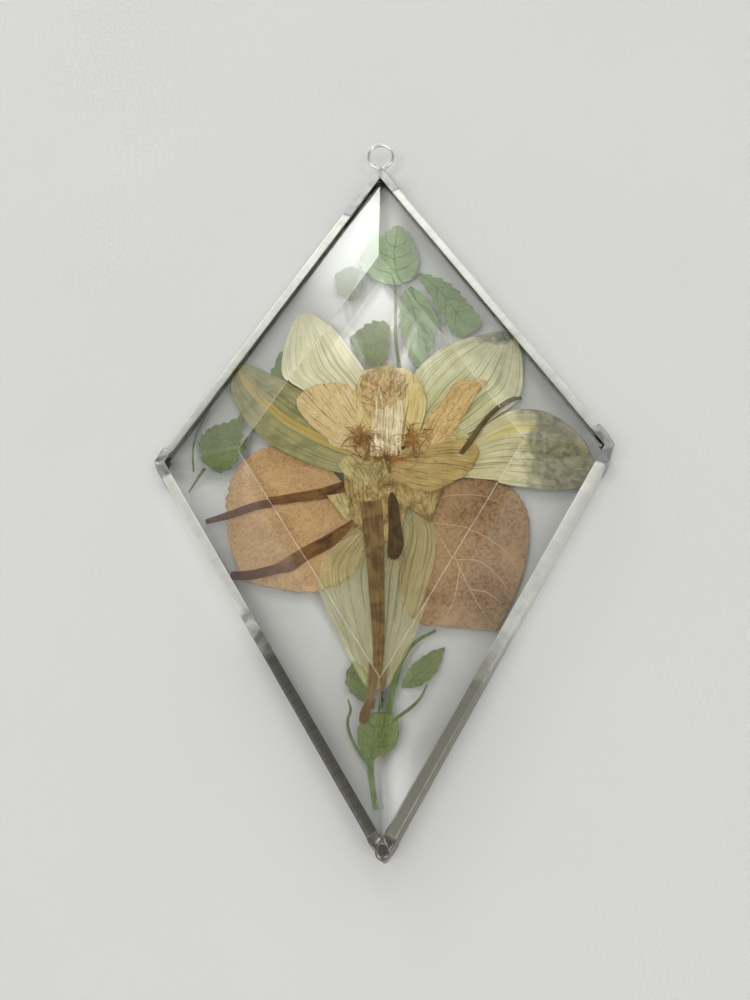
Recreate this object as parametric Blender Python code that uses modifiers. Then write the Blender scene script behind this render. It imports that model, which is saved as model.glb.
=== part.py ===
"""Pressed flower suncatcher.

A bevelled glass diamond and a flat back pane hold a pressed daffodil, two brown leaves and
green sprigs. Four strips of U came run round the edge, with solder at the corners and a wire
loop at the top. It lies on its back: the front looks up +Z and the loop points along +Y.
All sizes are in millimetres and become metres when a mesh is made.
"""
import math

import bmesh
import bpy
from mathutils import Vector

MM = 0.001

# Front pane: a stock 3 by 5 inch diamond with half-inch bevels
HALF_WIDTH = 38.1
HALF_HEIGHT = 63.5
BEVEL_WIDTH = 12.5
CENTRE_THICKNESS = 5.3
EDGE_THICKNESS = 1.0
BACK_THICKNESS = 1.2
GLASS_TIP_Y = 62.6

# Came strips: a U section that wraps both panes
CAME_WALL = 0.4
CAME_LIP = 0.3
FRONT_OVERLAP = 1.4
BACK_OVERLAP = 0.8
CAME_ROUNDING = 0.35

# Gap kept between neighbouring pieces
GAP = 0.24

# Pressed plants: three layers between the panes
PLANT_THICKNESS = 0.1

# Solder at the corners
SOLDER_PROUD = 0.2
TIP_SHORTENING = 0.16
SOLDER_TOP_FROM = 60.4
SOLDER_BOTTOM_FROM = 61.2
SOLDER_SIDE_FROM = 36.9

# Hanging loop
LOOP_RADIUS = 2.45
WIRE_RADIUS = 0.36
LOOP_NECK_HALF = 0.6
LOOP_NECK_Y = 66.4
LOOP_TILT = math.radians(18)

# Values that follow from the sizes above
INRADIUS = HALF_WIDTH * HALF_HEIGHT / math.hypot(HALF_WIDTH, HALF_HEIGHT)
BACK_Z = CAME_LIP + GAP
PLANT_PITCH = PLANT_THICKNESS + GAP
LAYER_BACK = BACK_Z + BACK_THICKNESS + GAP
LAYER_MIDDLE = LAYER_BACK + PLANT_PITCH
LAYER_FRONT = LAYER_MIDDLE + PLANT_PITCH
FRONT_Z = LAYER_FRONT + PLANT_PITCH
BEVEL_RISE = CENTRE_THICKNESS - EDGE_THICKNESS
LIP_Z = FRONT_Z + EDGE_THICKNESS + BEVEL_RISE * FRONT_OVERLAP / BEVEL_WIDTH + GAP
CAME_HEIGHT = LIP_Z + CAME_LIP
CHANNEL_GROWTH = GAP
OUTER_GROWTH = CHANNEL_GROWTH + CAME_WALL
SOLDER_GROWTH = OUTER_GROWTH + SOLDER_PROUD
LOOP_Z = CAME_HEIGHT / 2
SOLDER_TOP_END = GLASS_TIP_Y + GAP + CAME_WALL
LOOP_LEG_END_Y = SOLDER_TOP_END + GAP
LOOP_OPENING = math.asin(LOOP_NECK_HALF / LOOP_RADIUS)
LOOP_REACH = LOOP_RADIUS * (1 + math.cos(LOOP_OPENING))
LOOP_TOP_Y = LOOP_NECK_Y + LOOP_REACH * math.cos(LOOP_TILT) + WIRE_RADIUS
BOTTOM_TIP_Y = HALF_HEIGHT * (1 + SOLDER_GROWTH / INRADIUS) - TIP_SHORTENING
MIDDLE_Y = (LOOP_TOP_Y - BOTTOM_TIP_Y) / 2


def clear_scene():
    for item in list(bpy.data.objects):
        bpy.data.objects.remove(item, do_unlink=True)


def new_collection(name):
    group = bpy.data.collections.new(name)
    bpy.context.scene.collection.children.link(group)
    return group


def make_material(name, colour, roughness, metallic=0.0, transmission=0.0):
    material = bpy.data.materials.new(name)
    material.use_nodes = True
    shader = material.node_tree.nodes["Principled BSDF"]
    shader.inputs["Base Color"].default_value = (*colour, 1.0)
    shader.inputs["Roughness"].default_value = roughness
    shader.inputs["Metallic"].default_value = metallic
    shader.inputs["Transmission Weight"].default_value = transmission
    return material


clear_scene()
PARTS = new_collection("pressed_flower_suncatcher")
CUTTERS = new_collection("cutters")

# The empty puts the middle of the whole outline, loop included, on the origin
MIDDLE = bpy.data.objects.new("middle", None)
MIDDLE.location.y = -MIDDLE_Y * MM
PARTS.objects.link(MIDDLE)

GLASS = make_material("clear_glass", (0.94, 0.97, 0.95), 0.02, transmission=1.0)
CAME = make_material("brushed_came", (0.62, 0.62, 0.61), 0.32, metallic=1.0)
SOLDER = make_material("solder", (0.48, 0.48, 0.49), 0.38, metallic=1.0)
WIRE = make_material("tinned_wire", (0.70, 0.69, 0.67), 0.28, metallic=1.0)
TEPAL = make_material("cream_tepal", (0.74, 0.69, 0.44), 0.7)
CORONA = make_material("peach_corona", (0.76, 0.58, 0.35), 0.75)
STAMEN = make_material("brown_stamens", (0.33, 0.18, 0.08), 0.8)
STALK = make_material("brown_stalk", (0.30, 0.19, 0.10), 0.7)
LEAF = make_material("tan_leaf", (0.55, 0.36, 0.25), 0.75)
GREEN = make_material("green_leaf", (0.28, 0.44, 0.28), 0.7)


def place(item, material=None, group=PARTS):
    """Put an object in a collection, under the middle empty, with its material."""
    group.objects.link(item)
    item.parent = MIDDLE
    if material:
        item.data.materials.append(material)
    return item


def mesh_object(name, bm, material=None, group=PARTS):
    bmesh.ops.recalc_face_normals(bm, faces=bm.faces)
    mesh = bpy.data.meshes.new(name)
    bm.to_mesh(mesh)
    bm.free()
    return place(bpy.data.objects.new(name, mesh), material, group)


def diamond(growth, low, high):
    """A diamond prism whose sides stand growth outside the glass edge."""
    factor = 1 + growth / INRADIUS
    bm = bmesh.new()
    made = bmesh.ops.create_cone(
        bm, cap_ends=True, segments=4, radius1=1, radius2=1, depth=(high - low) * MM
    )
    size = Vector((HALF_WIDTH * factor * MM, HALF_HEIGHT * factor * MM, 1))
    bmesh.ops.scale(bm, vec=size, verts=made["verts"])
    bmesh.ops.translate(bm, vec=(0, 0, (high + low) / 2 * MM), verts=made["verts"])
    return bm


def nip_top(bm, y):
    """Grind the sharp top corner off, flat at y."""
    everything = bm.verts[:] + bm.edges[:] + bm.faces[:]
    bmesh.ops.bisect_plane(
        bm, geom=everything, plane_co=(0, y * MM, 0), plane_no=(0, 1, 0), clear_outer=True
    )
    rim = [edge for edge in bm.edges if edge.is_boundary]
    bmesh.ops.holes_fill(bm, edges=rim)
    return bm


def cutter(name, bm):
    item = mesh_object(name, bm, group=CUTTERS)
    item.display_type = "WIRE"
    item.hide_render = True
    return item


def box_cutter(name, low, high):
    bm = bmesh.new()
    made = bmesh.ops.create_cube(bm, size=1)
    size = [(b - a) * MM for a, b in zip(low, high)]
    middle = [(b + a) / 2 * MM for a, b in zip(low, high)]
    bmesh.ops.scale(bm, vec=size, verts=made["verts"])
    bmesh.ops.translate(bm, vec=middle, verts=made["verts"])
    return cutter(name, bm)


def cut(item, tool, operation="DIFFERENCE"):
    modifier = item.modifiers.new(tool.name, "BOOLEAN")
    modifier.object = tool
    modifier.operation = operation
    modifier.solver = "EXACT"


def front_pane():
    """The edge band of the pane, with its top face drawn in and up to make the bevels."""
    edge_top = FRONT_Z + EDGE_THICKNESS
    bm = diamond(0, FRONT_Z, edge_top)
    top = max(bm.faces, key=lambda face: face.calc_center_median().z)
    lifted = bmesh.ops.extrude_discrete_faces(bm, faces=[top])["faces"][0]
    inner = 1 - BEVEL_WIDTH / INRADIUS
    bmesh.ops.scale(bm, vec=(inner, inner, 1), verts=lifted.verts)
    bmesh.ops.translate(bm, vec=(0, 0, BEVEL_RISE * MM), verts=lifted.verts)
    return mesh_object("front_glass", nip_top(bm, GLASS_TIP_Y), GLASS)


def back_pane():
    bm = diamond(0, BACK_Z, BACK_Z + BACK_THICKNESS)
    return mesh_object("back_glass", nip_top(bm, GLASS_TIP_Y), GLASS)


# The hollow of the U section and the two windows, shared by every strip and corner
FAR = 100
CHANNEL_SHAPE = nip_top(diamond(CHANNEL_GROWTH, CAME_LIP, LIP_Z), GLASS_TIP_Y + GAP)
CHANNEL = cutter("channel", CHANNEL_SHAPE)
FRONT_WINDOW = cutter("front_window", diamond(-FRONT_OVERLAP, FRONT_Z, FAR))
BACK_WINDOW = cutter("back_window", diamond(-BACK_OVERLAP, -FAR, FRONT_Z))


def frame_piece(name, growth, top, region, material):
    """One stretch of the rounded U section, the part of the ring that lies in region."""
    item = mesh_object(name, diamond(growth, 0, top), material)
    rounding = item.modifiers.new("rounding", "BEVEL")
    rounding.width = CAME_ROUNDING * MM
    rounding.segments = 3
    rounding.limit_method = "ANGLE"
    cut(item, CHANNEL)
    cut(item, FRONT_WINDOW)
    cut(item, BACK_WINDOW)
    cut(item, region, "INTERSECT")
    item.data.shade_smooth()
    item.data.set_sharp_from_angle(angle=math.radians(35))
    return item


def came_strip(name, x_side, y_side):
    side_end = SOLDER_SIDE_FROM - GAP / 2
    tip_end = (SOLDER_TOP_FROM if y_side > 0 else SOLDER_BOTTOM_FROM) - GAP / 2
    xs = sorted((x_side * GAP / 2, x_side * side_end))
    ys = sorted((y_side * GAP / 2, y_side * tip_end))
    region = box_cutter(name + "_region", (xs[0], ys[0], -FAR), (xs[1], ys[1], FAR))
    return frame_piece(name, OUTER_GROWTH, CAME_HEIGHT, region, CAME)


def solder_joint(name, direction, start, end=FAR):
    """The soldered corner from start to end along X or Y."""
    low = [-FAR, -FAR, -FAR]
    high = [FAR, FAR, FAR]
    axis = 0 if direction[0] else 1
    near = start + GAP / 2
    if direction[axis] > 0:
        low[axis] = near
        high[axis] = end
    else:
        low[axis] = -end
        high[axis] = -near
    region = box_cutter(name + "_region", low, high)
    return frame_piece(name, SOLDER_GROWTH, CAME_HEIGHT + SOLDER_PROUD, region, SOLDER)


def hanging_loop():
    """An open ring of wire on two legs, bent up a little from the plane of the frame."""
    steps = 22
    turn = 2 * math.pi - 2 * LOOP_OPENING
    points = [(-LOOP_NECK_HALF, LOOP_LEG_END_Y, LOOP_Z)]
    for step in range(steps + 1):
        angle = -math.pi / 2 - LOOP_OPENING - turn * step / steps
        x = LOOP_RADIUS * math.cos(angle)
        reach = LOOP_RADIUS * (math.cos(LOOP_OPENING) + math.sin(angle))
        y = LOOP_NECK_Y + reach * math.cos(LOOP_TILT)
        z = LOOP_Z + reach * math.sin(LOOP_TILT)
        points.append((x, y, z))
    points.append((LOOP_NECK_HALF, LOOP_LEG_END_Y, LOOP_Z))
    curve = bpy.data.curves.new("hanging_loop", "CURVE")
    curve.dimensions = "3D"
    curve.bevel_depth = WIRE_RADIUS * MM
    curve.bevel_resolution = 2
    curve.use_fill_caps = True
    spline = curve.splines.new("POLY")
    spline.points.add(len(points) - 1)
    for point, (x, y, z) in zip(spline.points, points):
        point.co = (x * MM, y * MM, z * MM, 1)
    return place(bpy.data.objects.new("hanging_loop", curve), WIRE)


def plate(name, outline, layer, material, sharp=(), detail=3):
    """A pressed piece: a smooth closed outline filled and given the plant thickness."""
    curve = bpy.data.curves.new(name, "CURVE")
    curve.dimensions = "2D"
    curve.fill_mode = "BOTH"
    curve.extrude = PLANT_THICKNESS / 2 * MM
    curve.resolution_u = detail
    spline = curve.splines.new("BEZIER")
    spline.use_cyclic_u = True
    spline.bezier_points.add(len(outline) - 1)
    for index, (point, (x, y)) in enumerate(zip(spline.bezier_points, outline)):
        point.co = (x * MM, y * MM, 0)
        kind = "VECTOR" if index in sharp else "AUTO"
        point.handle_left_type = kind
        point.handle_right_type = kind
    item = place(bpy.data.objects.new(name, curve), material)
    item.location.z = (layer + PLANT_THICKNESS / 2) * MM
    return item


def ribbon(name, route, widths, layer, material):
    """A stalk: a plate whose two edges run half a width to each side of its route."""
    left = []
    right = []
    for index, (x, y) in enumerate(route):
        before = Vector(route[max(index - 1, 0)])
        after = Vector(route[min(index + 1, len(route) - 1)])
        across = (after - before).normalized().orthogonal() * widths[index] / 2
        left.append((x + across.x, y + across.y))
        right.append((x - across.x, y - across.y))
    ends = {0, len(left) - 1, len(left), 2 * len(left) - 1}
    return plate(name, left + right[::-1], layer, material, sharp=ends, detail=2)


def tepals():
    """The five tepals of the daffodil, each drawn from its base out to its tip and back."""
    plate(
        "tepal_upper_left",
        [(1.0, 4.3), (-0.9, 12.2), (-3.6, 18.4), (-8.2, 25.8), (-13.6, 30.4), (-15.8, 26.4),
         (-16.7, 20.2), (-16.2, 15.4), (-8.0, 9.4)],
        LAYER_MIDDLE, TEPAL, sharp={0, 7, 8},
    )
    plate(
        "tepal_left",
        [(-0.6, 2.9), (-8.2, 8.8), (-16.1, 14.7), (-20.7, 18.0), (-25.0, 20.4), (-26.6, 17.0),
         (-25.9, 12.6), (-22.3, 6.7), (-19.0, 3.0), (-12.0, -1.2), (-6.1, -3.2), (-1.5, -2.4)],
        LAYER_MIDDLE, TEPAL, sharp={0, 1, 2},
    )
    plate(
        "tepal_upper_right",
        [(2.2, 4.3), (4.0, 10.6), (6.1, 16.4), (9.1, 19.6), (12.0, 21.6), (17.2, 23.7),
         (21.9, 24.9), (24.3, 21.0), (24.2, 16.4), (23.2, 10.6), (20.5, 7.6), (16.0, 4.4),
         (10.0, 1.6), (5.0, 0.9)],
        LAYER_MIDDLE, TEPAL, sharp={0},
    )
    plate(
        "tepal_right",
        [(8.0, -1.8), (11.0, 0.8), (16.3, 3.8), (20.9, 6.7), (25.7, 7.5), (29.9, 5.7),
         (33.2, 1.7), (35.4, -2.2), (33.6, -5.8), (28.9, -6.9), (22.2, -6.3), (17.9, -5.4),
         (12.0, -4.4)],
        LAYER_MIDDLE, TEPAL, sharp={0},
    )
    plate(
        "tepal_lower",
        [(-3.0, -12.8), (3.0, -12.6), (8.3, -10.6), (8.7, -16.4), (7.6, -22.0), (4.4, -31.2),
         (1.4, -36.6), (-0.6, -39.4), (-3.4, -35.9), (-6.8, -29.2), (-9.0, -23.6),
         (-9.8, -19.4), (-8.4, -17.5), (-5.2, -15.0)],
        LAYER_MIDDLE, TEPAL,
    )


def flower_heart():
    """The frilled corona, the stamens in its mouth, the tube, the ovary and the stem."""
    plate(
        "corona",
        [(-15.0, 11.6), (-13.5, 13.8), (-11.0, 14.7), (-6.3, 14.4), (-4.4, 15.2),
         (-3.3, 17.6), (-1.5, 18.2), (1.0, 18.7), (3.8, 17.2), (5.9, 15.2), (7.9, 12.6),
         (8.2, 9.9), (10.5, 11.3), (12.9, 13.4), (17.7, 13.7), (16.4, 11.2), (13.8, 7.0),
         (12.8, 3.8), (15.9, 1.4), (16.2, -1.4), (13.5, -5.0), (10.8, -5.9), (7.8, -3.8),
         (5.9, 0.6), (4.4, 3.2), (0.5, 3.6), (-3.2, 3.3), (-7.9, 3.0), (-12.2, 6.6)],
        LAYER_FRONT, CORONA,
    )
    plate(
        "stamens",
        [(-5.8, 1.6), (-2.8, 2.7), (0.5, 3.0), (3.7, 2.6), (5.0, 0.4), (3.8, -2.4),
         (1.2, -3.6), (-1.8, -3.0), (-4.2, -0.8)],
        LAYER_FRONT, STAMEN, sharp={0, 3, 6},
    )
    plate(
        "flower_tube",
        [(-4.0, -5.2), (-1.0, -3.6), (1.2, 0.2), (4.6, 0.0), (6.6, -2.8), (7.0, -6.0),
         (6.4, -8.8), (3.4, -11.2), (-2.4, -11.4), (-4.0, -9.0)],
        LAYER_MIDDLE, STALK,
    )
    plate(
        "ovary",
        [(1.1, -7.4), (2.4, -6.9), (3.3, -12.0), (3.6, -16.8), (2.5, -19.0), (1.2, -18.2),
         (0.9, -12.5)],
        LAYER_FRONT, STALK,
    )
    ribbon(
        "flower_stem",
        [(-1.5, -8.6), (-1.3, -16.0), (-0.9, -25.8), (-0.5, -34.0), (-0.4, -40.0),
         (-0.6, -42.8), (-1.2, -45.2)],
        [3.0, 3.0, 2.6, 2.1, 1.9, 1.9, 1.5],
        LAYER_FRONT, STALK,
    )


def stalks():
    """Two brown stalks that run out to the left over the leaf, and a thin curl at the right."""
    ribbon(
        "stalk_upper",
        [(-6.6, -6.0), (-10.4, -6.8), (-16.4, -7.6), (-20.0, -8.0), (-25.0, -9.4),
         (-29.0, -10.3)],
        [1.9, 1.4, 1.3, 1.3, 1.1, 0.7],
        LAYER_MIDDLE, STALK,
    )
    ribbon(
        "stalk_lower",
        [(-4.9, -13.1), (-8.6, -15.4), (-12.4, -17.5), (-16.4, -19.1), (-20.8, -20.1),
         (-24.2, -20.0)],
        [1.8, 1.9, 2.2, 1.5, 1.5, 1.2],
        LAYER_MIDDLE, STALK,
    )
    ribbon(
        "curled_stalk",
        [(17.2, 4.6), (18.6, 6.6), (20.2, 8.2), (21.8, 9.3), (23.4, 9.8)],
        [0.7, 0.7, 0.7, 0.7, 0.5],
        LAYER_FRONT, STALK,
    )


def brown_leaves():
    plate(
        "leaf_left",
        [(-19.3, 2.4), (-22.8, 0.2), (-24.8, -4.2), (-25.2, -9.3), (-24.2, -15.2),
         (-21.6, -20.5), (-17.3, -22.1), (-12.5, -23.0), (-8.3, -22.8), (-4.4, -20.4),
         (-2.8, -15.0), (-3.0, -8.0), (-5.4, -3.6), (-9.6, -0.8), (-14.4, 1.6)],
        LAYER_BACK, LEAF, sharp={5},
    )
    plate(
        "leaf_right",
        [(6.6, -9.6), (9.8, -6.2), (13.9, -4.9), (17.9, -5.3), (20.6, -6.6), (22.6, -9.6),
         (23.1, -14.0), (22.2, -19.4), (20.2, -24.8), (17.3, -30.4), (13.1, -29.9),
         (9.1, -29.5), (4.9, -28.7), (2.8, -24.0), (2.8, -17.0), (4.4, -12.2)],
        LAYER_BACK, LEAF, sharp={9},
    )


def top_sprig():
    """The green sprig behind the two upper tepals."""
    ribbon(
        "top_sprig_stem",
        [(2.7, 34.7), (2.7, 30.0), (2.6, 24.0), (3.4, 16.0)],
        [0.5, 0.5, 0.6, 0.7],
        LAYER_BACK, GREEN,
    )
    leaves = {
        "top_sprig_tip_leaf": [(2.7, 50.3), (0.2, 47.8), (-1.4, 44.6), (-2.8, 41.0),
                               (-1.6, 37.6), (1.2, 35.7), (3.8, 35.6), (5.7, 38.6),
                               (6.0, 42.4), (4.8, 46.8)],
        "top_sprig_left_leaf": [(-7.8, 38.9), (-5.2, 39.9), (-3.5, 39.0), (-3.3, 35.8),
                                (-5.2, 33.0), (-7.6, 35.6)],
        "top_sprig_right_leaf": [(6.6, 37.6), (11.6, 35.8), (15.0, 31.2), (17.0, 27.0),
                                 (16.8, 24.2), (13.2, 23.1), (10.6, 26.4), (8.8, 31.2)],
        "top_sprig_middle_leaf": [(4.2, 34.3), (6.4, 33.0), (8.1, 29.6), (9.4, 25.4),
                                  (8.8, 21.4), (6.2, 17.2), (4.6, 21.0), (3.5, 27.0)],
        "top_sprig_lower_leaf": [(-5.6, 24.0), (-2.2, 26.9), (0.6, 27.2), (1.9, 24.0),
                                 (0.8, 19.8), (-0.6, 18.0), (-3.6, 20.2)],
    }
    for name, outline in leaves.items():
        plate(name, outline, LAYER_BACK, GREEN, sharp={0})
    plate(
        "side_sprig_leaf",
        [(-15.0, 25.2), (-17.2, 21.6), (-18.5, 17.6), (-17.5, 13.8), (-14.8, 14.6),
         (-13.9, 20.0)],
        LAYER_BACK, GREEN, sharp={0},
    )


def left_sprig():
    plate(
        "left_sprig_leaf",
        [(-23.1, 8.8), (-26.0, 7.3), (-29.0, 6.8), (-30.8, 4.4), (-30.1, 1.4), (-27.0, -1.0),
         (-24.2, 0.6), (-23.5, 3.8)],
        LAYER_BACK, GREEN, sharp={0},
    )
    ribbon(
        "left_sprig_stem",
        [(-29.6, -0.5), (-31.0, -2.4), (-32.3, -4.6)],
        [0.6, 0.5, 0.4],
        LAYER_BACK, GREEN,
    )
    ribbon(
        "left_sprig_tendril",
        [(-29.8, 11.0), (-31.2, 8.0), (-32.0, 4.0), (-31.7, 0.0)],
        [0.3, 0.4, 0.4, 0.3],
        LAYER_BACK, GREEN,
    )


def lower_sprig():
    """The green sprig below the flower, with its bract, two leaves and two tendrils."""
    ribbon(
        "lower_sprig_stem",
        [(-0.7, -56.6), (-1.1, -54.0), (-1.4, -51.0), (-1.4, -50.0)],
        [0.9, 0.9, 1.0, 1.3],
        LAYER_BACK, GREEN,
    )
    plate(
        "lower_sprig_bract",
        [(-1.3, -49.5), (-2.7, -47.8), (-3.1, -45.6), (-2.1, -43.4), (-0.2, -42.7),
         (1.4, -43.7), (1.7, -45.4), (0.7, -48.0)],
        LAYER_BACK, GREEN, sharp={0},
    )
    ribbon(
        "lower_sprig_branch",
        [(0.5, -42.2), (1.0, -39.4), (2.2, -35.2), (4.2, -32.2), (6.9, -30.5)],
        [0.6, 0.5, 0.5, 0.5, 0.4],
        LAYER_BACK, GREEN,
    )
    plate(
        "lower_sprig_left_leaf",
        [(-3.6, -34.7), (-4.8, -37.2), (-4.1, -39.2), (-2.2, -40.8), (-0.8, -42.1),
         (-0.8, -39.6), (-2.0, -36.6)],
        LAYER_BACK, GREEN, sharp={0, 4},
    )
    plate(
        "lower_sprig_right_leaf",
        [(2.4, -38.7), (5.3, -38.4), (7.4, -36.5), (8.9, -33.0), (6.6, -33.9), (3.8, -35.9)],
        LAYER_BACK, GREEN, sharp={0, 3},
    )
    ribbon(
        "lower_sprig_left_tendril",
        [(-2.5, -49.8), (-3.8, -47.2), (-4.9, -44.2), (-4.5, -42.2), (-4.6, -41.0)],
        [0.4, 0.4, 0.5, 0.4, 0.3],
        LAYER_BACK, GREEN,
    )
    ribbon(
        "lower_sprig_right_tendril",
        [(2.4, -43.2), (3.6, -42.0), (5.0, -40.8), (6.0, -39.5)],
        [0.4, 0.5, 0.5, 0.3],
        LAYER_BACK, GREEN,
    )


def metal_frame():
    came_strip("came_upper_left", -1, 1)
    came_strip("came_upper_right", 1, 1)
    came_strip("came_lower_left", -1, -1)
    came_strip("came_lower_right", 1, -1)
    solder_joint("solder_top", (0, 1), SOLDER_TOP_FROM, SOLDER_TOP_END)
    solder_joint("solder_bottom", (0, -1), SOLDER_BOTTOM_FROM)
    solder_joint("solder_left", (-1, 0), SOLDER_SIDE_FROM)
    solder_joint("solder_right", (1, 0), SOLDER_SIDE_FROM)
    hanging_loop()


front_pane()
back_pane()
metal_frame()
tepals()
flower_heart()
stalks()
brown_leaves()
top_sprig()
left_sprig()
lower_sprig()
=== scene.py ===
"""The looks of the pressed flower suncatcher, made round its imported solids.

Plant shapes are drawn in millimetres on the pane, with (0, 0) at the middle of the glass
diamond and z measured up from the back lips of the came. at() turns them into metres.
"""
import logging
import math
import random
from dataclasses import dataclass
from enum import Enum
from typing import Any, Callable, Dict, List, Optional, Sequence, Tuple, Union

import bmesh
import bpy
import numpy as np
from mathutils import Matrix, Vector, noise


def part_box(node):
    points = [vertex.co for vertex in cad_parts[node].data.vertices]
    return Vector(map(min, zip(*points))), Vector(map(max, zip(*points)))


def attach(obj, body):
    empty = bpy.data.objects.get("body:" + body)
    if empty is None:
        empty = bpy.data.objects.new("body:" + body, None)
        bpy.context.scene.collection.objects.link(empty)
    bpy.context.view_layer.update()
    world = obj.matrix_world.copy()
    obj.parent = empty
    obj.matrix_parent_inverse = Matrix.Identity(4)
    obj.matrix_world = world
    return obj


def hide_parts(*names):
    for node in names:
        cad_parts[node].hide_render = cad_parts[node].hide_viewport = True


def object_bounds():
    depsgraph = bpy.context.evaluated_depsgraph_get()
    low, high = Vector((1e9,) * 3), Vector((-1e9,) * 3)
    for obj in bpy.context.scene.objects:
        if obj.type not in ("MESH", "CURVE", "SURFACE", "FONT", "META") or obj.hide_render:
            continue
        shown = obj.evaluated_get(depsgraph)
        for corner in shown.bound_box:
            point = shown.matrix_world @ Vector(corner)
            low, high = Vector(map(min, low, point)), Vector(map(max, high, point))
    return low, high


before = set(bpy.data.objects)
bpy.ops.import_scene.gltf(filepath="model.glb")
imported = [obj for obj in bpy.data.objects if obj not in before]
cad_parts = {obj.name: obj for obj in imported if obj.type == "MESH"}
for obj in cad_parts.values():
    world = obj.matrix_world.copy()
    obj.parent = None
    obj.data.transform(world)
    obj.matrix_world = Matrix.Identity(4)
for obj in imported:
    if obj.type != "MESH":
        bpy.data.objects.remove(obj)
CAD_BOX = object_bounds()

Point = Tuple[float, float]
Colour = Tuple[float, float, float]
LOG = logging.getLogger("suncatcher")

MM = 0.001
BODY = "root"
UV_NAME = "Blade"
# Corners of one shape that are nearer than this, in metres, are the same corner
WELD = 2e-7

# Sizes of the panes and the came, in millimetres, as they were cut
HALF_WIDTH = 38.1
HALF_HEIGHT = 63.5
BEVEL_WIDTH = 12.5
BEVEL_RISE = 4.3
EDGE_THICKNESS = 1.0
BACK_THICKNESS = 1.2
GLASS_TIP_Y = 62.6
CAME_WALL_IN = 0.24
CAME_WALL_OUT = 0.54
FRONT_OVERLAP = 1.15
BACK_OVERLAP = 0.8
CAME_LIP = 0.3
INRADIUS = HALF_WIDTH * HALF_HEIGHT / math.hypot(HALF_WIDTH, HALF_HEIGHT)
PANE_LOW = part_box("front_glass")[0]
PANE_MIDDLE_Y = PANE_LOW.y + HALF_HEIGHT * MM
FRONT_Z = PANE_LOW.z / MM
BACK_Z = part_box("back_glass")[0].z / MM
CAME_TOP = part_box("came_upper_left")[1].z / MM

# Heights of the plant layers between the panes
LEAF_Z = 2.0
STALK_Z = 2.24
TEPAL_Z = 2.34
HEART_Z = 2.62


def at(x: float, y: float, z: float) -> Vector:
    """A point on the pane, in millimetres, as metres in the shared frame."""
    return Vector((x * MM, y * MM + PANE_MIDDLE_Y, z * MM))


def tint(red: float, green: float, blue: float) -> Colour:
    """A colour from 0 to 255, as the eye reads it, in Blender's linear values."""
    return tuple(((c / 255 + 0.055) / 1.055) ** 2.4 if c > 10 else c / 3294.6 for c in (red, green, blue))


def wander(x: float, y: float, seed: float) -> float:
    """Smooth unevenness from -1 to 1 that depends only on the place and the seed."""
    return noise.noise(Vector((x, y, seed * 7.31)))


class Value:
    """A number that varies over a surface, so that shader maths reads as plain maths."""

    def __init__(self, graph: "Graph", socket: bpy.types.NodeSocket) -> None:
        """Wrap the socket of a node that belongs to graph."""
        self.graph = graph
        self.socket = socket

    def _math(self, operation: str, first: "Number", second: "Number" = 0.0) -> "Value":
        """Add one Math node."""
        node = self.graph.node("ShaderNodeMath", {"operation": operation}, {0: first, 1: second})
        return Value(self.graph, node.outputs[0])

    def __add__(self, other: "Number") -> "Value":
        """The sum."""
        return self._math("ADD", self, other)

    __radd__ = __add__

    def __sub__(self, other: "Number") -> "Value":
        """The difference."""
        return self._math("SUBTRACT", self, other)

    def __rsub__(self, other: "Number") -> "Value":
        """The difference, with this value taken away."""
        return self._math("SUBTRACT", other, self)

    def __mul__(self, other: "Number") -> "Value":
        """The product."""
        return self._math("MULTIPLY", self, other)

    __rmul__ = __mul__

    def __pow__(self, other: "Number") -> "Value":
        """The power."""
        return self._math("POWER", self, other)

    def between(self, low: float, high: float) -> "Value":
        """Take a soft step.

        Args:
            low: where the step leaves 0.
            high: where it reaches 1.

        Returns:
            The step, as a value from 0 to 1.
        """
        settings = {"interpolation_type": "SMOOTHSTEP"}
        inputs = {"Value": self, "From Min": low, "From Max": high}
        return Value(self.graph, self.graph.node("ShaderNodeMapRange", settings, inputs).outputs[0])


Number = Union[float, Value]
Feed = Union[float, Colour, Value, bpy.types.NodeSocket]


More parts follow.
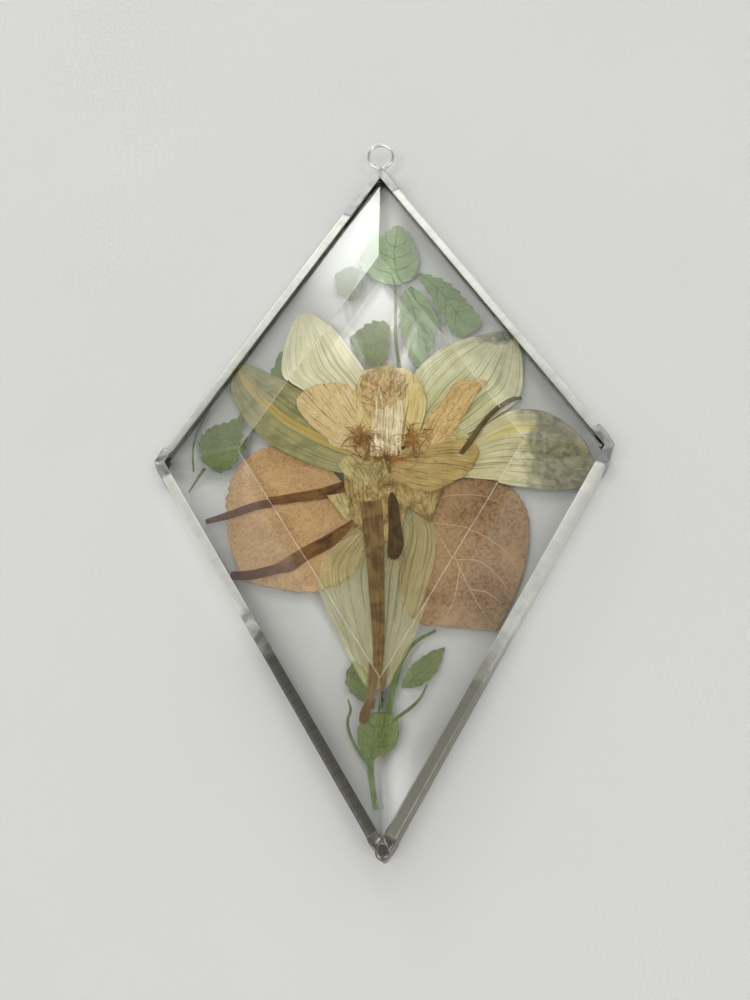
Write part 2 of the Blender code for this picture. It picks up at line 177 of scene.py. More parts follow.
class Graph:
    """The nodes of one material or world."""

    def __init__(self, tree: bpy.types.NodeTree) -> None:
        """Start from an empty tree."""
        self.tree = tree
        tree.nodes.clear()

    def node(
        self,
        kind: str,
        settings: Optional[Dict[str, object]] = None,
        inputs: Optional[Dict[Union[int, str], Feed]] = None,
    ) -> bpy.types.Node:
        """Add a node.

        Args:
            kind: the node's type name.
            settings: its properties, set first.
            inputs: a value or a link for each of its sockets.

        Returns:
            The new node.
        """
        made = self.tree.nodes.new(kind)
        for key, setting in (settings or {}).items():
            setattr(made, key, setting)
        for key, feed in (inputs or {}).items():
            self._feed(made.inputs[key], feed)
        return made

    def _feed(self, socket: bpy.types.NodeSocket, feed: Feed) -> None:
        """Link a varying feed to a socket, or set a constant one on it.

        Args:
            socket: the new node's socket.
            feed: a value, a link or a constant.
        """
        source = feed.socket if isinstance(feed, Value) else feed
        if isinstance(source, bpy.types.NodeSocket):
            self.tree.links.new(source, socket)
        elif socket.type == "RGBA":
            socket.default_value = (*source, 1.0)
        else:
            socket.default_value = source

    def blade(self) -> Tuple[Value, Value, bpy.types.NodeSocket]:
        """Read the piece's own UV map.

        Returns:
            The place across and along the piece's surface, and both as a vector.
        """
        uv = self.node("ShaderNodeUVMap", {"uv_map": UV_NAME}).outputs[0]
        split = self.node("ShaderNodeSeparateXYZ", None, {0: uv})
        return Value(self, split.outputs[0]), Value(self, split.outputs[1]), uv

    def object_mm(self) -> bpy.types.NodeSocket:
        """Object coordinates in millimetres."""
        place = self.node("ShaderNodeTexCoord").outputs["Object"]
        return self.scaled(place, (1 / MM, 1 / MM, 1 / MM))

    def scaled(
        self, vector: bpy.types.NodeSocket, scale: Sequence[float], turn: float = 0.0
    ) -> bpy.types.NodeSocket:
        """A vector scaled on each axis and turned about Z."""
        inputs = {"Vector": vector, "Scale": tuple(scale), "Rotation": (0.0, 0.0, turn)}
        return self.node("ShaderNodeMapping", None, inputs).outputs[0]

    def noise(
        self, vector: bpy.types.NodeSocket, scale: float, detail: float = 2.0, distortion: float = 0.0
    ) -> Value:
        """Smooth noise from 0 to 1."""
        inputs = {"Vector": vector, "Scale": scale, "Detail": detail, "Distortion": distortion}
        return Value(self, self.node("ShaderNodeTexNoise", None, inputs).outputs[0])

    def mix(self, first: Feed, second: Feed, factor: Number) -> bpy.types.NodeSocket:
        """A colour between two colours."""
        inputs = {0: factor, 6: first, 7: second}
        return self.node("ShaderNodeMix", {"data_type": "RGBA"}, inputs).outputs[2]

    def surface(
        self,
        varying: Dict[str, Feed],
        constants: Optional[Dict[str, Feed]] = None,
        height: Optional[Value] = None,
        depth_mm: float = 0.03,
    ) -> None:
        """Finish the tree with one Principled shader.

        Args:
            varying: feeds that change over the surface.
            constants: values set on the shader's own sockets.
            height: relief from 0 to 1, or None for a smooth surface.
            depth_mm: how deep that relief is.
        """
        shader = self.node("ShaderNodeBsdfPrincipled", None, {**(constants or {}), **varying})
        if height is not None:
            bump = self.node("ShaderNodeBump", None, {"Height": height, "Distance": depth_mm * MM})
            self.tree.links.new(bump.outputs[0], shader.inputs["Normal"])
        out = self.node("ShaderNodeOutputMaterial")
        self.tree.links.new(shader.outputs[0], out.inputs["Surface"])


class Finish:
    """A named finish, made as a material the first time a piece asks for it."""

    name: str

    def material(self) -> bpy.types.Material:
        """Make the finish, or find it if it has been made.

        Returns:
            The finish as a material.
        """
        found = bpy.data.materials.get(self.name)
        if found is None:
            found = bpy.data.materials.new(self.name)
            found.use_nodes = True
            self.paint(Graph(found.node_tree))
        return found

    def paint(self, graph: Graph) -> None:
        """Add the finish's nodes."""
        raise NotImplementedError


@dataclass(frozen=True)
class GlassFinish(Finish):
    """Clear polished glass with a faint green cast."""

    name: str
    colour: Colour = (0.98, 0.984, 0.968)
    index: float = 1.52
    frost: float = 0.0

    def paint(self, graph: Graph) -> None:
        """Plain transmission, with its constants on the shader.

        Args:
            graph: the material's empty tree.
        """
        constants = {
            "Base Color": self.colour,
            "Transmission Weight": 1.0 - self.frost,
            "IOR": self.index,
            "Roughness": self.frost,
        }
        graph.surface({}, constants)


@dataclass(frozen=True)
class MetalFinish(Finish):
    """Tinned metal, with fine brushing across its length, soft blotches and a far end darkened by painted
    dark reflection.
    """

    name: str
    bright: Colour
    dull: Colour
    roughness: float
    # Painted dark reflection: its colour, and the shares along the strip where it begins and where it is
    # full
    dark_reflection: Colour = (0.1, 0.1, 0.09)
    dark_reflection_from: float = 2.0
    dark_reflection_to: float = 3.0
    brushing: float = 0.5
    blotch_per_mm: float = 0.35
    depth_mm: float = 0.006

    def paint(self, graph: Graph) -> None:
        """Blotches on Object coordinates and brush marks across the strip.

        Args:
            graph: the material's empty tree.
        """
        _, along, uv = graph.blade()
        place = graph.object_mm()
        blotch = graph.noise(place, self.blotch_per_mm, 5.0, 0.6).between(0.32, 0.72)
        grain = graph.noise(graph.scaled(uv, (1.6, 190.0, 1.0)), 1.0, 3.0)
        fine = graph.noise(place, 2.6, 3.0)
        wear = blotch * 0.25 + grain * self.brushing * 0.5
        colour = graph.mix(self.bright, self.dull, wear)
        # Painted dark reflection: the strip darkens towards its far end, standing for a dark surround
        # mirrored in the metal
        dark_reflection_share = (along + (blotch - 0.5) * 0.08).between(self.dark_reflection_from, self.dark_reflection_to)
        colour = graph.mix(colour, self.dark_reflection, dark_reflection_share * (0.85 + grain * 0.15))
        rough = grain * 0.16 + fine * 0.12 + (self.roughness - 0.12)
        height = grain * self.brushing + fine * 0.6
        varying = {"Base Color": colour, "Roughness": rough}
        graph.surface(varying, {"Metallic": 1.0}, height, self.depth_mm)


@dataclass(frozen=True)
class PetalFinish(Finish):
    """Dried petal tissue: fine lengthwise veins, paler streaks, and a darker end that is a real stain on
    some tissues and painted shade on others.
    """

    name: str
    pale: Colour
    deep: Colour
    vein: Colour
    veins: float = 25.0
    vein_strength: float = 0.9
    torn: float = 0.0
    opacity: float = 0.72
    # The darker end: its colour, and where it begins and where it is full along the piece; a real stain on
    # some tissues, painted shade on others
    stain_and_shade: Colour = (0.1, 0.1, 0.08)
    stain_and_shade_from: float = 2.0
    stain_and_shade_to: float = 3.0
    streak: Optional[Colour] = None
    streak_at: float = 0.5
    mottle: float = 0.5
    wrinkle: float = 0.0

    def paint(self, graph: Graph) -> None:
        """Veins follow the piece's own across and along, and mottling its place.

        Args:
            graph: the material's empty tree.
        """
        across, along, uv = graph.blade()
        place = graph.object_mm()
        fibre = graph.noise(graph.scaled(uv, (self.veins * 2, 1.1, 1.0)), 1.0, 2.0, 0.12)
        broad = graph.noise(graph.scaled(uv, (self.veins * 0.22, 1.3, 1.0)), 1.5, 2.0, 0.3)
        hairs = graph.noise(graph.scaled(uv, (self.veins * 4.5, 5.0, 1.0)), 1.0, 2.0, 0.1)
        lines = fibre.between(0.55, 0.61) * 0.65 + hairs.between(0.54, 0.62) * 0.35
        patch = graph.noise(place, 0.42, 3.0, 0.5).between(0.35, 0.7)
        body = graph.mix(self.pale, self.deep, patch * self.mottle + broad.between(0.4, 0.7) * 0.35)
        if self.streak is not None:
            near = 1.0 - (across - self.streak_at) * (across - self.streak_at) * 90.0
            line = near.between(0.1, 0.9) * broad.between(0.35, 0.5)
            body = graph.mix(body, self.streak, line * 0.85)
        speck = graph.noise(place, 3.4, 2.0).between(0.66, 0.78)
        colour = graph.mix(body, self.vein, lines * self.vein_strength + speck * 0.25)
        # The darker end, a real stain on some tissues and painted shade on others, with a noisy edge
        edge_noise = (graph.noise(place, 0.33, 4.0) - 0.5) * 0.5
        stain_and_shade_mask = (along + edge_noise).between(self.stain_and_shade_from, self.stain_and_shade_to)
        cloud = graph.noise(place, 0.7, 4.0, 0.8).between(0.35, 0.65)
        streaky = cloud * 0.4 + 0.6 - hairs.between(0.58, 0.68) * 0.35
        colour = graph.mix(colour, self.stain_and_shade, stain_and_shade_mask * streaky)
        crease = graph.noise(graph.scaled(uv, (9.0, 7.0, 1.0)), 1.3, 3.0, 1.6)
        fold = 1.0 - ((crease - 0.5) * (crease - 0.5) * 900.0).between(0.0, 1.0)
        colour = graph.mix(colour, self.vein, fold * (self.wrinkle * 0.75))
        height = fibre * 0.8 + crease * self.wrinkle
        whole = 1.0 - (1.0 - graph.noise(place, 0.3, 3.0, 0.8).between(0.34, 0.58)) * self.torn
        alpha = (self.opacity + lines * 0.15 - stain_and_shade_mask * 0.1) * whole
        varying = {"Base Color": colour, "Alpha": alpha}
        graph.surface(varying, {"Roughness": 0.62, "Specular IOR Level": 0.25}, height, 0.05)


@dataclass(frozen=True)
class LeafFinish(Finish):
    """A pressed leaf: mottled tissue over a fine net of veinlets."""

    name: str
    pale: Colour
    deep: Colour
    net: Colour
    net_per_mm: float = 1.5
    net_strength: float = 0.35
    opacity: float = 0.93
    blotch_per_mm: float = 0.16

    def paint(self, graph: Graph) -> None:
        """Blotches, grain and veinlets on Object coordinates.

        Args:
            graph: the material's empty tree.
        """
        place = graph.object_mm()
        broad = graph.noise(place, self.blotch_per_mm, 3.0, 0.4).between(0.3, 0.7)
        grain = graph.noise(place, 1.7, 4.0)
        cells = graph.node(
            "ShaderNodeTexVoronoi",
            {"feature": "DISTANCE_TO_EDGE"},
            {"Vector": place, "Scale": self.net_per_mm},
        )
        edge = 1.0 - Value(graph, cells.outputs[0]).between(0.02, 0.16)
        speck = graph.noise(place, 1.1, 2.0).between(0.7, 0.78)
        body = graph.mix(self.pale, self.deep, broad * 0.6 + grain.between(0.35, 0.7) * 0.4)
        colour = graph.mix(body, self.net, edge * self.net_strength)
        colour = graph.mix(colour, tint(70, 45, 32), speck * 0.4)
        height = edge * 0.4 + grain * 0.7
        varying = {"Base Color": colour, "Alpha": self.opacity + grain * 0.05}
        graph.surface(varying, {"Roughness": 0.66, "Specular IOR Level": 0.25}, height, 0.04)


@dataclass(frozen=True)
class StalkFinish(Finish):
    """A flattened dry stalk with long fibres and darker bands."""

    name: str
    pale: Colour
    deep: Colour
    tip: Colour
    tip_from: float = 2.0
    tip_to: float = 3.0
    fibres: float = 8.0
    opacity: float = 0.9

    def paint(self, graph: Graph) -> None:
        """Fibres along the stalk, bands across it and a tip of its own colour.

        Args:
            graph: the material's empty tree.
        """
        _, along, uv = graph.blade()
        place = graph.object_mm()
        fibre = graph.noise(graph.scaled(uv, (self.fibres, 3.0, 1.0)), 1.6, 3.0, 0.3)
        band = graph.noise(place, 0.45, 3.0, 0.6).between(0.35, 0.68)
        colour = graph.mix(self.pale, self.deep, band * 0.7 + fibre.between(0.4, 0.65) * 0.5)
        end = along.between(self.tip_from, self.tip_to)
        colour = graph.mix(colour, self.tip, end)
        varying = {"Base Color": colour, "Alpha": self.opacity + fibre * 0.08}
        graph.surface(varying, {"Roughness": 0.6, "Specular IOR Level": 0.3}, fibre, 0.06)


@dataclass(frozen=True)
class TableFinish(Finish):
    """A plain pale matt table."""

    name: str
    colour: Colour

    def paint(self, graph: Graph) -> None:
        """A faint unevenness over one pale colour.

        Args:
            graph: the material's empty tree.
        """
        cloud = graph.noise(graph.object_mm(), 0.02, 3.0)
        darker = tuple(c * 0.94 for c in self.colour)
        colour = graph.mix(self.colour, darker, cloud)
        graph.surface({"Base Color": colour}, {"Roughness": 0.7, "Specular IOR Level": 0.3})


class Tissue(Enum):
    """The finishes of the plant pieces."""

    TEPAL_UPPER_LEFT = PetalFinish(
        "tepal_cream", tint(250, 245, 210), tint(232, 225, 180), tint(118, 106, 60), opacity=0.8
    )
    TEPAL_LEFT = PetalFinish(
        "tepal_olive", tint(188, 182, 130), tint(142, 140, 84), tint(74, 70, 36),
        opacity=0.7, streak=tint(222, 190, 104), streak_at=0.46, mottle=0.7,
    )
    # Its grey tip is painted shade: a dark ground seen through the thin tissue, not a stain in it
    TEPAL_UPPER_RIGHT = PetalFinish(
        "tepal_sage", tint(230, 226, 182), tint(202, 198, 146), tint(94, 90, 48),
        opacity=0.8, stain_and_shade=tint(96, 96, 72), stain_and_shade_from=0.82, stain_and_shade_to=0.92,
    )
    # Its grey outer end is painted shade: a dark ground seen through the thin tissue, not a stain in it
    TEPAL_RIGHT = PetalFinish(
        "tepal_painted_shade_end", tint(232, 224, 180), tint(206, 198, 146), tint(96, 90, 48),
        opacity=0.78, stain_and_shade=tint(124, 122, 94), stain_and_shade_from=0.5, stain_and_shade_to=0.68,
        streak=tint(226, 206, 120), streak_at=0.24,
    )
    TEPAL_LOWER = PetalFinish(
        "tepal_clear", tint(222, 214, 160), tint(190, 178, 110), tint(92, 78, 40),
        vein_strength=0.85, opacity=0.28,
    )
    CORONA_FAN = PetalFinish(
        "corona_peach", tint(240, 218, 166), tint(220, 190, 128), tint(118, 78, 34),
        veins=17.0, vein_strength=0.95, opacity=0.88, wrinkle=0.35,
    )
    CORONA_STRIP = PetalFinish(
        "corona_folded", tint(232, 204, 142), tint(204, 166, 100), tint(112, 70, 30),
        veins=12.0, vein_strength=0.8, opacity=0.95, wrinkle=1.0,
    )
    CORONA_TRUMPET = PetalFinish(
        "corona_cream", tint(248, 238, 204), tint(196, 162, 102), tint(116, 76, 34),
        veins=9.0, vein_strength=0.9, opacity=0.97, stain_and_shade=tint(176, 132, 80),
        stain_and_shade_from=0.8, stain_and_shade_to=1.1,
    )
    CORONA_YELLOW = PetalFinish(
        "corona_yellow", tint(234, 216, 154), tint(210, 186, 112), tint(120, 84, 36),
        veins=13.0, vein_strength=0.85, opacity=0.93, wrinkle=0.2,
    )
    CORONA_GOLD = PetalFinish(
        "corona_gold", tint(212, 186, 120), tint(168, 138, 76), tint(80, 52, 20),
        veins=15.0, vein_strength=0.95, opacity=0.82, wrinkle=0.3,
    )
    # Its darker scrap ends are partly browned torn tissue and partly painted shade for the dark gaps between
    # the scraps
    CORONA_FRILL = PetalFinish(
        "corona_frill", tint(238, 206, 150), tint(204, 160, 108), tint(128, 84, 46),
        veins=4.0, opacity=0.97, stain_and_shade=tint(158, 108, 62), stain_and_shade_from=0.4, stain_and_shade_to=0.9,
    )
    HEART = PetalFinish(
        "heart_olive", tint(214, 190, 124), tint(148, 120, 66), tint(72, 46, 16),
        veins=12.0, opacity=0.85, wrinkle=0.8, mottle=0.9,
    )
    HEART_PALE = PetalFinish(
        "heart_pale", tint(226, 212, 152), tint(190, 168, 98), tint(116, 88, 38),
        veins=9.0, opacity=0.75, wrinkle=0.5, torn=0.7,
    )
    STAMEN = StalkFinish("stamen_brown", tint(204, 152, 72), tint(124, 78, 24), tint(90, 50, 16))
    STEM = StalkFinish(
        "stem_brown", tint(140, 112, 64), tint(88, 62, 28), tint(104, 72, 6),
        tip_from=0.88, tip_to=0.93, fibres=14.0,
    )
    STALK = StalkFinish(
        "stalk_brown", tint(132, 92, 34), tint(74, 40, 6), tint(90, 48, 8),
        tip_from=0.55, tip_to=0.8,
    )
    CURL = StalkFinish("stalk_olive", tint(112, 94, 50), tint(76, 58, 26), tint(76, 56, 26))
    OVARY = StalkFinish("ovary_brown", tint(94, 70, 30), tint(58, 38, 12), tint(56, 38, 12))
    LEAF_TAN = LeafFinish(
        "leaf_tan", tint(204, 166, 118), tint(150, 112, 70), tint(216, 180, 130)
    )
    LEAF_BROWN = LeafFinish(
        "leaf_brown", tint(186, 154, 114), tint(102, 72, 40), tint(184, 146, 100), blotch_per_mm=0.09
    )
    LEAF_VEIN = LeafFinish(
        "leaf_vein", tint(218, 182, 138), tint(196, 158, 116), tint(222, 190, 148), net_strength=0.1
    )
    GREEN_LIGHT = LeafFinish(
        "green_light", tint(172, 192, 148), tint(130, 158, 108), tint(180, 198, 156), opacity=0.8
    )
    GREEN_PALE = LeafFinish(
        "green_pale", tint(144, 166, 112), tint(96, 126, 72), tint(158, 178, 128), opacity=0.8
    )
    GREEN_DEEP = LeafFinish(
        "green_deep", tint(128, 140, 76), tint(74, 92, 36), tint(144, 154, 92), opacity=0.8
    )
    GREEN_STEM = StalkFinish(
        "green_stem", tint(120, 138, 74), tint(80, 102, 46), tint(96, 118, 58), opacity=0.85
    )


CLEAR_GLASS = GlassFinish("glass_polished")
WORN_RIDGE = GlassFinish("glass_worn_ridge", (0.95, 0.96, 0.93), frost=0.24)
CAME_METAL = MetalFinish("came_brushed", tint(226, 226, 218), tint(164, 164, 156), 0.34, brushing=0.8)
# Painted light on the two lower strips: their base colours are brighter than the other came's to make up for
# the dim surround they mirror, and their lower ends take a painted dark reflection, olive-grey on the right
CAME_LOWER_LEFT = MetalFinish(
    "came_dark_end", tint(240, 240, 232), tint(190, 190, 182), 0.38,
    dark_reflection=tint(72, 69, 62), dark_reflection_from=0.4, dark_reflection_to=0.54, brushing=0.7,
)
CAME_LOWER_RIGHT = MetalFinish(
    "came_olive_end", tint(240, 240, 232), tint(190, 190, 182), 0.38,
    dark_reflection=tint(132, 130, 116), dark_reflection_from=0.4, dark_reflection_to=0.66, brushing=0.7,
)
SOLDER_METAL = MetalFinish(
    "solder_grey", tint(172, 172, 170), tint(100, 100, 98), 0.3, brushing=0.1, blotch_per_mm=0.9
)
SOLDER_DARK = MetalFinish(
    "solder_dark", tint(128, 124, 116), tint(66, 62, 56), 0.26, brushing=0.1, blotch_per_mm=1.2
)
WIRE_METAL = MetalFinish(
    "wire_tinned", tint(232, 230, 224), tint(160, 157, 150), 0.22, brushing=0.15, blotch_per_mm=0.8
)


class Rail:
    """A smooth curve through a few points of the pane, read by its length from 0 to 1."""

    STEPS = 10

    def __init__(self, points: Sequence[Point]) -> None:
        """Pass a Catmull-Rom curve through the points.

        Args:
            points: two or more points, in millimetres.
        """
        knots = [np.array(p, float) for p in points]
        knots = [2 * knots[0] - knots[1]] + knots + [2 * knots[-1] - knots[-2]]
        dense = []
        for before, start, end, after in zip(knots, knots[1:], knots[2:], knots[3:]):
            for step in range(self.STEPS):
                t = step / self.STEPS
                bend = (2 * before - 5 * start + 4 * end - after) * t * t
                turn = (3 * start - before - 3 * end + after) * t * t * t
                dense.append(0.5 * (2 * start + (end - before) * t + bend + turn))
        dense.append(knots[-2])
        self.dense = np.array(dense)
        steps = np.linalg.norm(np.diff(self.dense, axis=0), axis=1)
        self.reach = np.concatenate([[0.0], np.cumsum(steps)])

    @property
    def length(self) -> float:
        """The curve's length in millimetres."""
        return float(self.reach[-1])

    def at(self, t: float) -> np.ndarray:
        """Find a point of the curve.

        Args:
            t: its share of the way along.

        Returns:
            The point, in millimetres.
        """
        where = t * self.reach[-1]
        x = np.interp(where, self.reach, self.dense[:, 0])
        y = np.interp(where, self.reach, self.dense[:, 1])
        return np.array((x, y))


def ribbon_edges(route: Sequence[Point], widths: Sequence[float]) -> Tuple[List[Point], List[Point]]:
    """The two edges of a ribbon that runs along a route.

    Args:
        route: the points of its middle line.
        widths: its width at each of them.

    Returns:
        The points of its left and its right edge.
    """
    left, right = [], []
    for index, (x, y) in enumerate(route):
        before = Vector(route[max(index - 1, 0)])
        after = Vector(route[min(index + 1, len(route) - 1)])
        side = (after - before).normalized().orthogonal() * widths[index] / 2
        left.append((x + side.x, y + side.y))
        right.append((x - side.x, y - side.y))
    return left, right


@dataclass
class Blade:
    """A flat pressed sheet between a left and a right edge that share a base and a tip.

    All sizes are in millimetres. The rim, where there is one, runs from the left edge's end
    to the right edge's end. Pleats are lengthwise folds and teeth are cuts along the edges.
    """

    left: Sequence[Point]
    right: Sequence[Point]
    height: float
    rim: Sequence[Point] = ()
    columns: int = 30
    rows: int = 50
    arch: float = 0.0
    pleats: float = 0.0
    pleat_depth: float = 0.0
    ripple: float = 0.03
    teeth: int = 0
    tooth: float = 0.0
    frill: float = 0.0
    seed: float = 1.0
    material: int = 0

    def __post_init__(self) -> None:
        """Fit the rails."""
        self.left_rail = Rail(self.left)
        self.right_rail = Rail(self.right)
        self.rim_rail = Rail(self.rim) if self.rim else None
        self.rim_start = self.left_rail.at(1.0)
        self.rim_run = self.right_rail.at(1.0) - self.rim_start

    def place(self, u: float, v: float) -> Vector:
        """Shape the sheet.

        Args:
            u: the share of the way across, from the left edge.
            v: the share of the way along, from the base.

        Returns:
            The point of the sheet, in the shared frame.
        """
        start = self.left_rail.at(v)
        width = self.right_rail.at(v) - start
        point = start + width * u
        if self.rim_rail is not None:
            bulge = self.rim_rail.at(u) - (self.rim_start + self.rim_run * u)
            point = point + bulge * v * v
        if self.teeth:
            saw = (v * self.teeth) % 1.0
            size = self.tooth * (0.7 + 0.6 * abs(wander(v * 9, 0, self.seed)))
            reach = max(float(np.hypot(*width)), 0.3)
            point = point + width / reach * (2 * u - 1) ** 5 * saw * size
        if self.frill:
            base = (self.left_rail.at(0.0) + self.right_rail.at(0.0)) / 2
            out = point - base
            out = out / max(float(np.hypot(*out)), 0.1)
            point = point + out * self.frill * wander(u * 17, v * 3, self.seed) * v ** 6
        x, y = point
        crown = (1 - (2 * u - 1) ** 2) * math.sin(math.pi * min(v + 0.08, 1)) ** 0.5
        z = self.height + self.arch * crown
        fold = math.cos(math.tau * self.pleats * u + 0.8 * wander(u * 3, v * 2, self.seed + 3))
        z += self.pleat_depth * fold + self.ripple * wander(x * 0.45, y * 0.45, self.seed)
        return at(x, y, z)


class Piece:
    """One finished piece: gathers its shapes in a bmesh, then joins the frame."""

    def __init__(self, name: str, *finishes: Finish) -> None:
        """Start an empty piece.

        Args:
            name: the name of its object.
            finishes: its finishes, in the order of their indices.
        """
        self.name = name
        self.finishes = finishes
        self.bm = bmesh.new()
        self.uv = self.bm.loops.layers.uv.new(UV_NAME)

    def grid(
        self,
        columns: int,
        rows: int,
        place: Callable[[float, float], Vector],
        material: int = 0,
        closed: bool = False,
    ) -> None:
        """Shape a grid by a function.

        Args:
            columns: faces across.
            rows: faces along.
            place: gives a vertex's point from its shares across and along.
            material: the index of the finish.
            closed: whether the two long edges meet, and the open ends are capped.
        """
        made = bmesh.ops.create_grid(
            self.bm, x_segments=columns, y_segments=rows, size=0.5, calc_uvs=True
        )
        verts = made["verts"]
        faces = list({face for vert in verts for face in vert.link_faces})
        for face in faces:
            face.material_index = material
            face.smooth = True
        for vert in verts:
            vert.co = place(vert.co.x + 0.5, vert.co.y + 0.5)
        bmesh.ops.remove_doubles(self.bm, verts=verts, dist=WELD)
        faces = [face for face in faces if face.is_valid]
        if closed:
            rim = list({e for face in faces for e in face.edges if e.is_boundary})
            caps = bmesh.ops.holes_fill(self.bm, edges=rim)["faces"]
            for cap in caps:
                cap.material_index = material
            bmesh.ops.recalc_face_normals(self.bm, faces=faces + caps)
        elif sum(face.normal.z * face.calc_area() for face in self._fresh(faces)) < 0:
            bmesh.ops.reverse_faces(self.bm, faces=faces)

    @staticmethod
    def _fresh(faces: Sequence[bmesh.types.BMFace]) -> Sequence[bmesh.types.BMFace]:
        """Bring normals up to date.

        Args:
            faces: faces whose corners have moved.

        Returns:
            The same faces.
        """
        for face in faces:
            face.normal_update()
        return faces

    def blade(self, left: Sequence[Point], right: Sequence[Point], height: float, **shape: Any) -> None:
        """Add a pressed sheet between two edges, with Blade's other fields by name."""
        blade = Blade(left, right, height, **shape)
        self.grid(blade.columns, blade.rows, blade.place, blade.material)

    def ribbon(self, route: Sequence[Point], widths: Sequence[float], height: float, **shape: Any) -> None:
        """Add a pressed sheet that has the given widths along a route."""
        left, right = ribbon_edges(route, widths)
        self.blade(left, right, height, **shape)

    def tube(
        self,
        points: Sequence[Vector],
        radius: float,
        sides: int = 6,
        material: int = 0,
        taper: float = 1.0,
    ) -> None:
        """Add a round rod.

        Args:
            points: its middle line, in the shared frame.
            radius: its radius in millimetres.
            sides: faces round it.
            material: the index of the finish.
            taper: the share of the radius that is left at its end.
        """
        count = len(points) - 1
        tangents = [
            (points[min(i + 1, count)] - points[max(i - 1, 0)]).normalized() for i in range(count + 1)
        ]
        side = tangents[0].orthogonal().normalized()
        frames = []
        for tangent in tangents:
            side = (side - tangent * side.dot(tangent)).normalized()
            frames.append((side, tangent.cross(side)))

        def place(u: float, v: float) -> Vector:
            """Shape the rod.

            Args:
                u: the share of the way round.
                v: the share of the way along.

            Returns:
                The point, in the shared frame.
            """
            index = round(v * count)
            first, second = frames[index]
            angle = math.tau * u
            size = radius * MM * (1 + (taper - 1) * v)
            return points[index] + (first * math.cos(angle) + second * math.sin(angle)) * size

        self.grid(sides, count, place, material, closed=True)

    def finish(self, replaced: Sequence[str], slot: str, thickness: float = 0.0) -> bpy.types.Object:
        """Make the object, ride it and hide the nodes that it replaces.

        Args:
            replaced: the nodes that it replaces.
            slot: the record's material slot; not used.
            thickness: a sheet's thickness in millimetres, or 0 for closed shapes.

        Returns:
            The finished object.
        """
        mesh = bpy.data.meshes.new(self.name)
        self.bm.to_mesh(mesh)
        self.bm.free()
        for finish in self.finishes:
            mesh.materials.append(finish.material())
        item = bpy.data.objects.new(self.name, mesh)
        bpy.context.scene.collection.objects.link(item)
        if thickness:
            wall = item.modifiers.new("tissue", "SOLIDIFY")
            wall.thickness = thickness * MM
            wall.offset = 0.0
        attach(item, BODY)
        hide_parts(*replaced)
        LOG.info("%s: %d faces", self.name, len(mesh.polygons))
        return item


@dataclass
class Panes:
    """The bevelled front pane and the flat back pane."""

    edge_wear: float = 0.07
    ridge_rise: float = 1.0

    def _blank(self, name: str, low: float, high: float, *finishes: Finish) -> Piece:
        """Cut a diamond blank.

        Args:
            name: the pane's name.
            low: the height of its underside, in millimetres.
            high: the height of its top.
            finishes: its finishes, in order.

        Returns:
            The piece, with the blank in it.
        """
        piece = Piece(name, *finishes)
        bmesh.ops.create_cone(
            piece.bm, cap_ends=True, segments=4, radius1=1, radius2=1, depth=(high - low) * MM
        )
        size = Vector((HALF_WIDTH * MM, HALF_HEIGHT * MM, 1))
        bmesh.ops.scale(piece.bm, vec=size, verts=piece.bm.verts)
        bmesh.ops.translate(piece.bm, vec=at(0, 0, (low + high) / 2), verts=piece.bm.verts)
        return piece

    def _grind(self, piece: Piece) -> None:
        """Grind the top corner flat, then take the sharpness off every edge.

        The ridges of the front pane, well above its thin edge, take the second finish.

        Args:
            piece: the pane to grind.
        """
        bm = piece.bm
        everything = bm.verts[:] + bm.edges[:] + bm.faces[:]
        bmesh.ops.bisect_plane(
            bm, geom=everything, plane_co=at(0, GLASS_TIP_Y, 0), plane_no=(0, 1, 0), clear_outer=True
        )
        bmesh.ops.holes_fill(bm, edges=[e for e in bm.edges if e.is_boundary])
        worn = bmesh.ops.bevel(
            bm, geom=bm.edges[:], offset=self.edge_wear * MM, offset_type="OFFSET", affect="EDGES",
            segments=1, profile=0.5, material=-1,
        )["faces"]
        ridge_z = (FRONT_Z + EDGE_THICKNESS + self.ridge_rise) * MM
        for face in worn:
            if min(vert.co.z for vert in face.verts) > ridge_z:
                face.material_index = 1
        bmesh.ops.recalc_face_normals(bm, faces=bm.faces)

    def front(self) -> None:
        """Draw the blank's top face in and up, which leaves the four wide bevels."""
        edge_top = FRONT_Z + EDGE_THICKNESS
        piece = self._blank("front_pane", FRONT_Z, edge_top, CLEAR_GLASS, WORN_RIDGE)
        top = max(piece.bm.faces, key=lambda face: face.calc_center_median().z)
        lifted = bmesh.ops.extrude_discrete_faces(piece.bm, faces=[top])["faces"][0]
        inner = 1 - BEVEL_WIDTH / INRADIUS
        for vert in lifted.verts:
            vert.co.x *= inner
            vert.co.y = PANE_MIDDLE_Y + (vert.co.y - PANE_MIDDLE_Y) * inner
            vert.co.z += BEVEL_RISE * MM
        self._grind(piece)
        piece.finish(["front_glass"], "clear_glass")

    def back(self) -> None:
        """The plain back pane."""
        piece = self._blank("back_pane", BACK_Z, BACK_Z + BACK_THICKNESS, CLEAR_GLASS)
        self._grind(piece)
        piece.finish(["back_glass"], "clear_glass")

    def build(self) -> None:
        """Make both panes."""
        self.front()
        self.back()


CORNERS = {
    "top": Vector((0, HALF_HEIGHT)),
    "right": Vector((HALF_WIDTH, 0)),
    "bottom": Vector((0, -HALF_HEIGHT)),
    "left": Vector((-HALF_WIDTH, 0)),
}


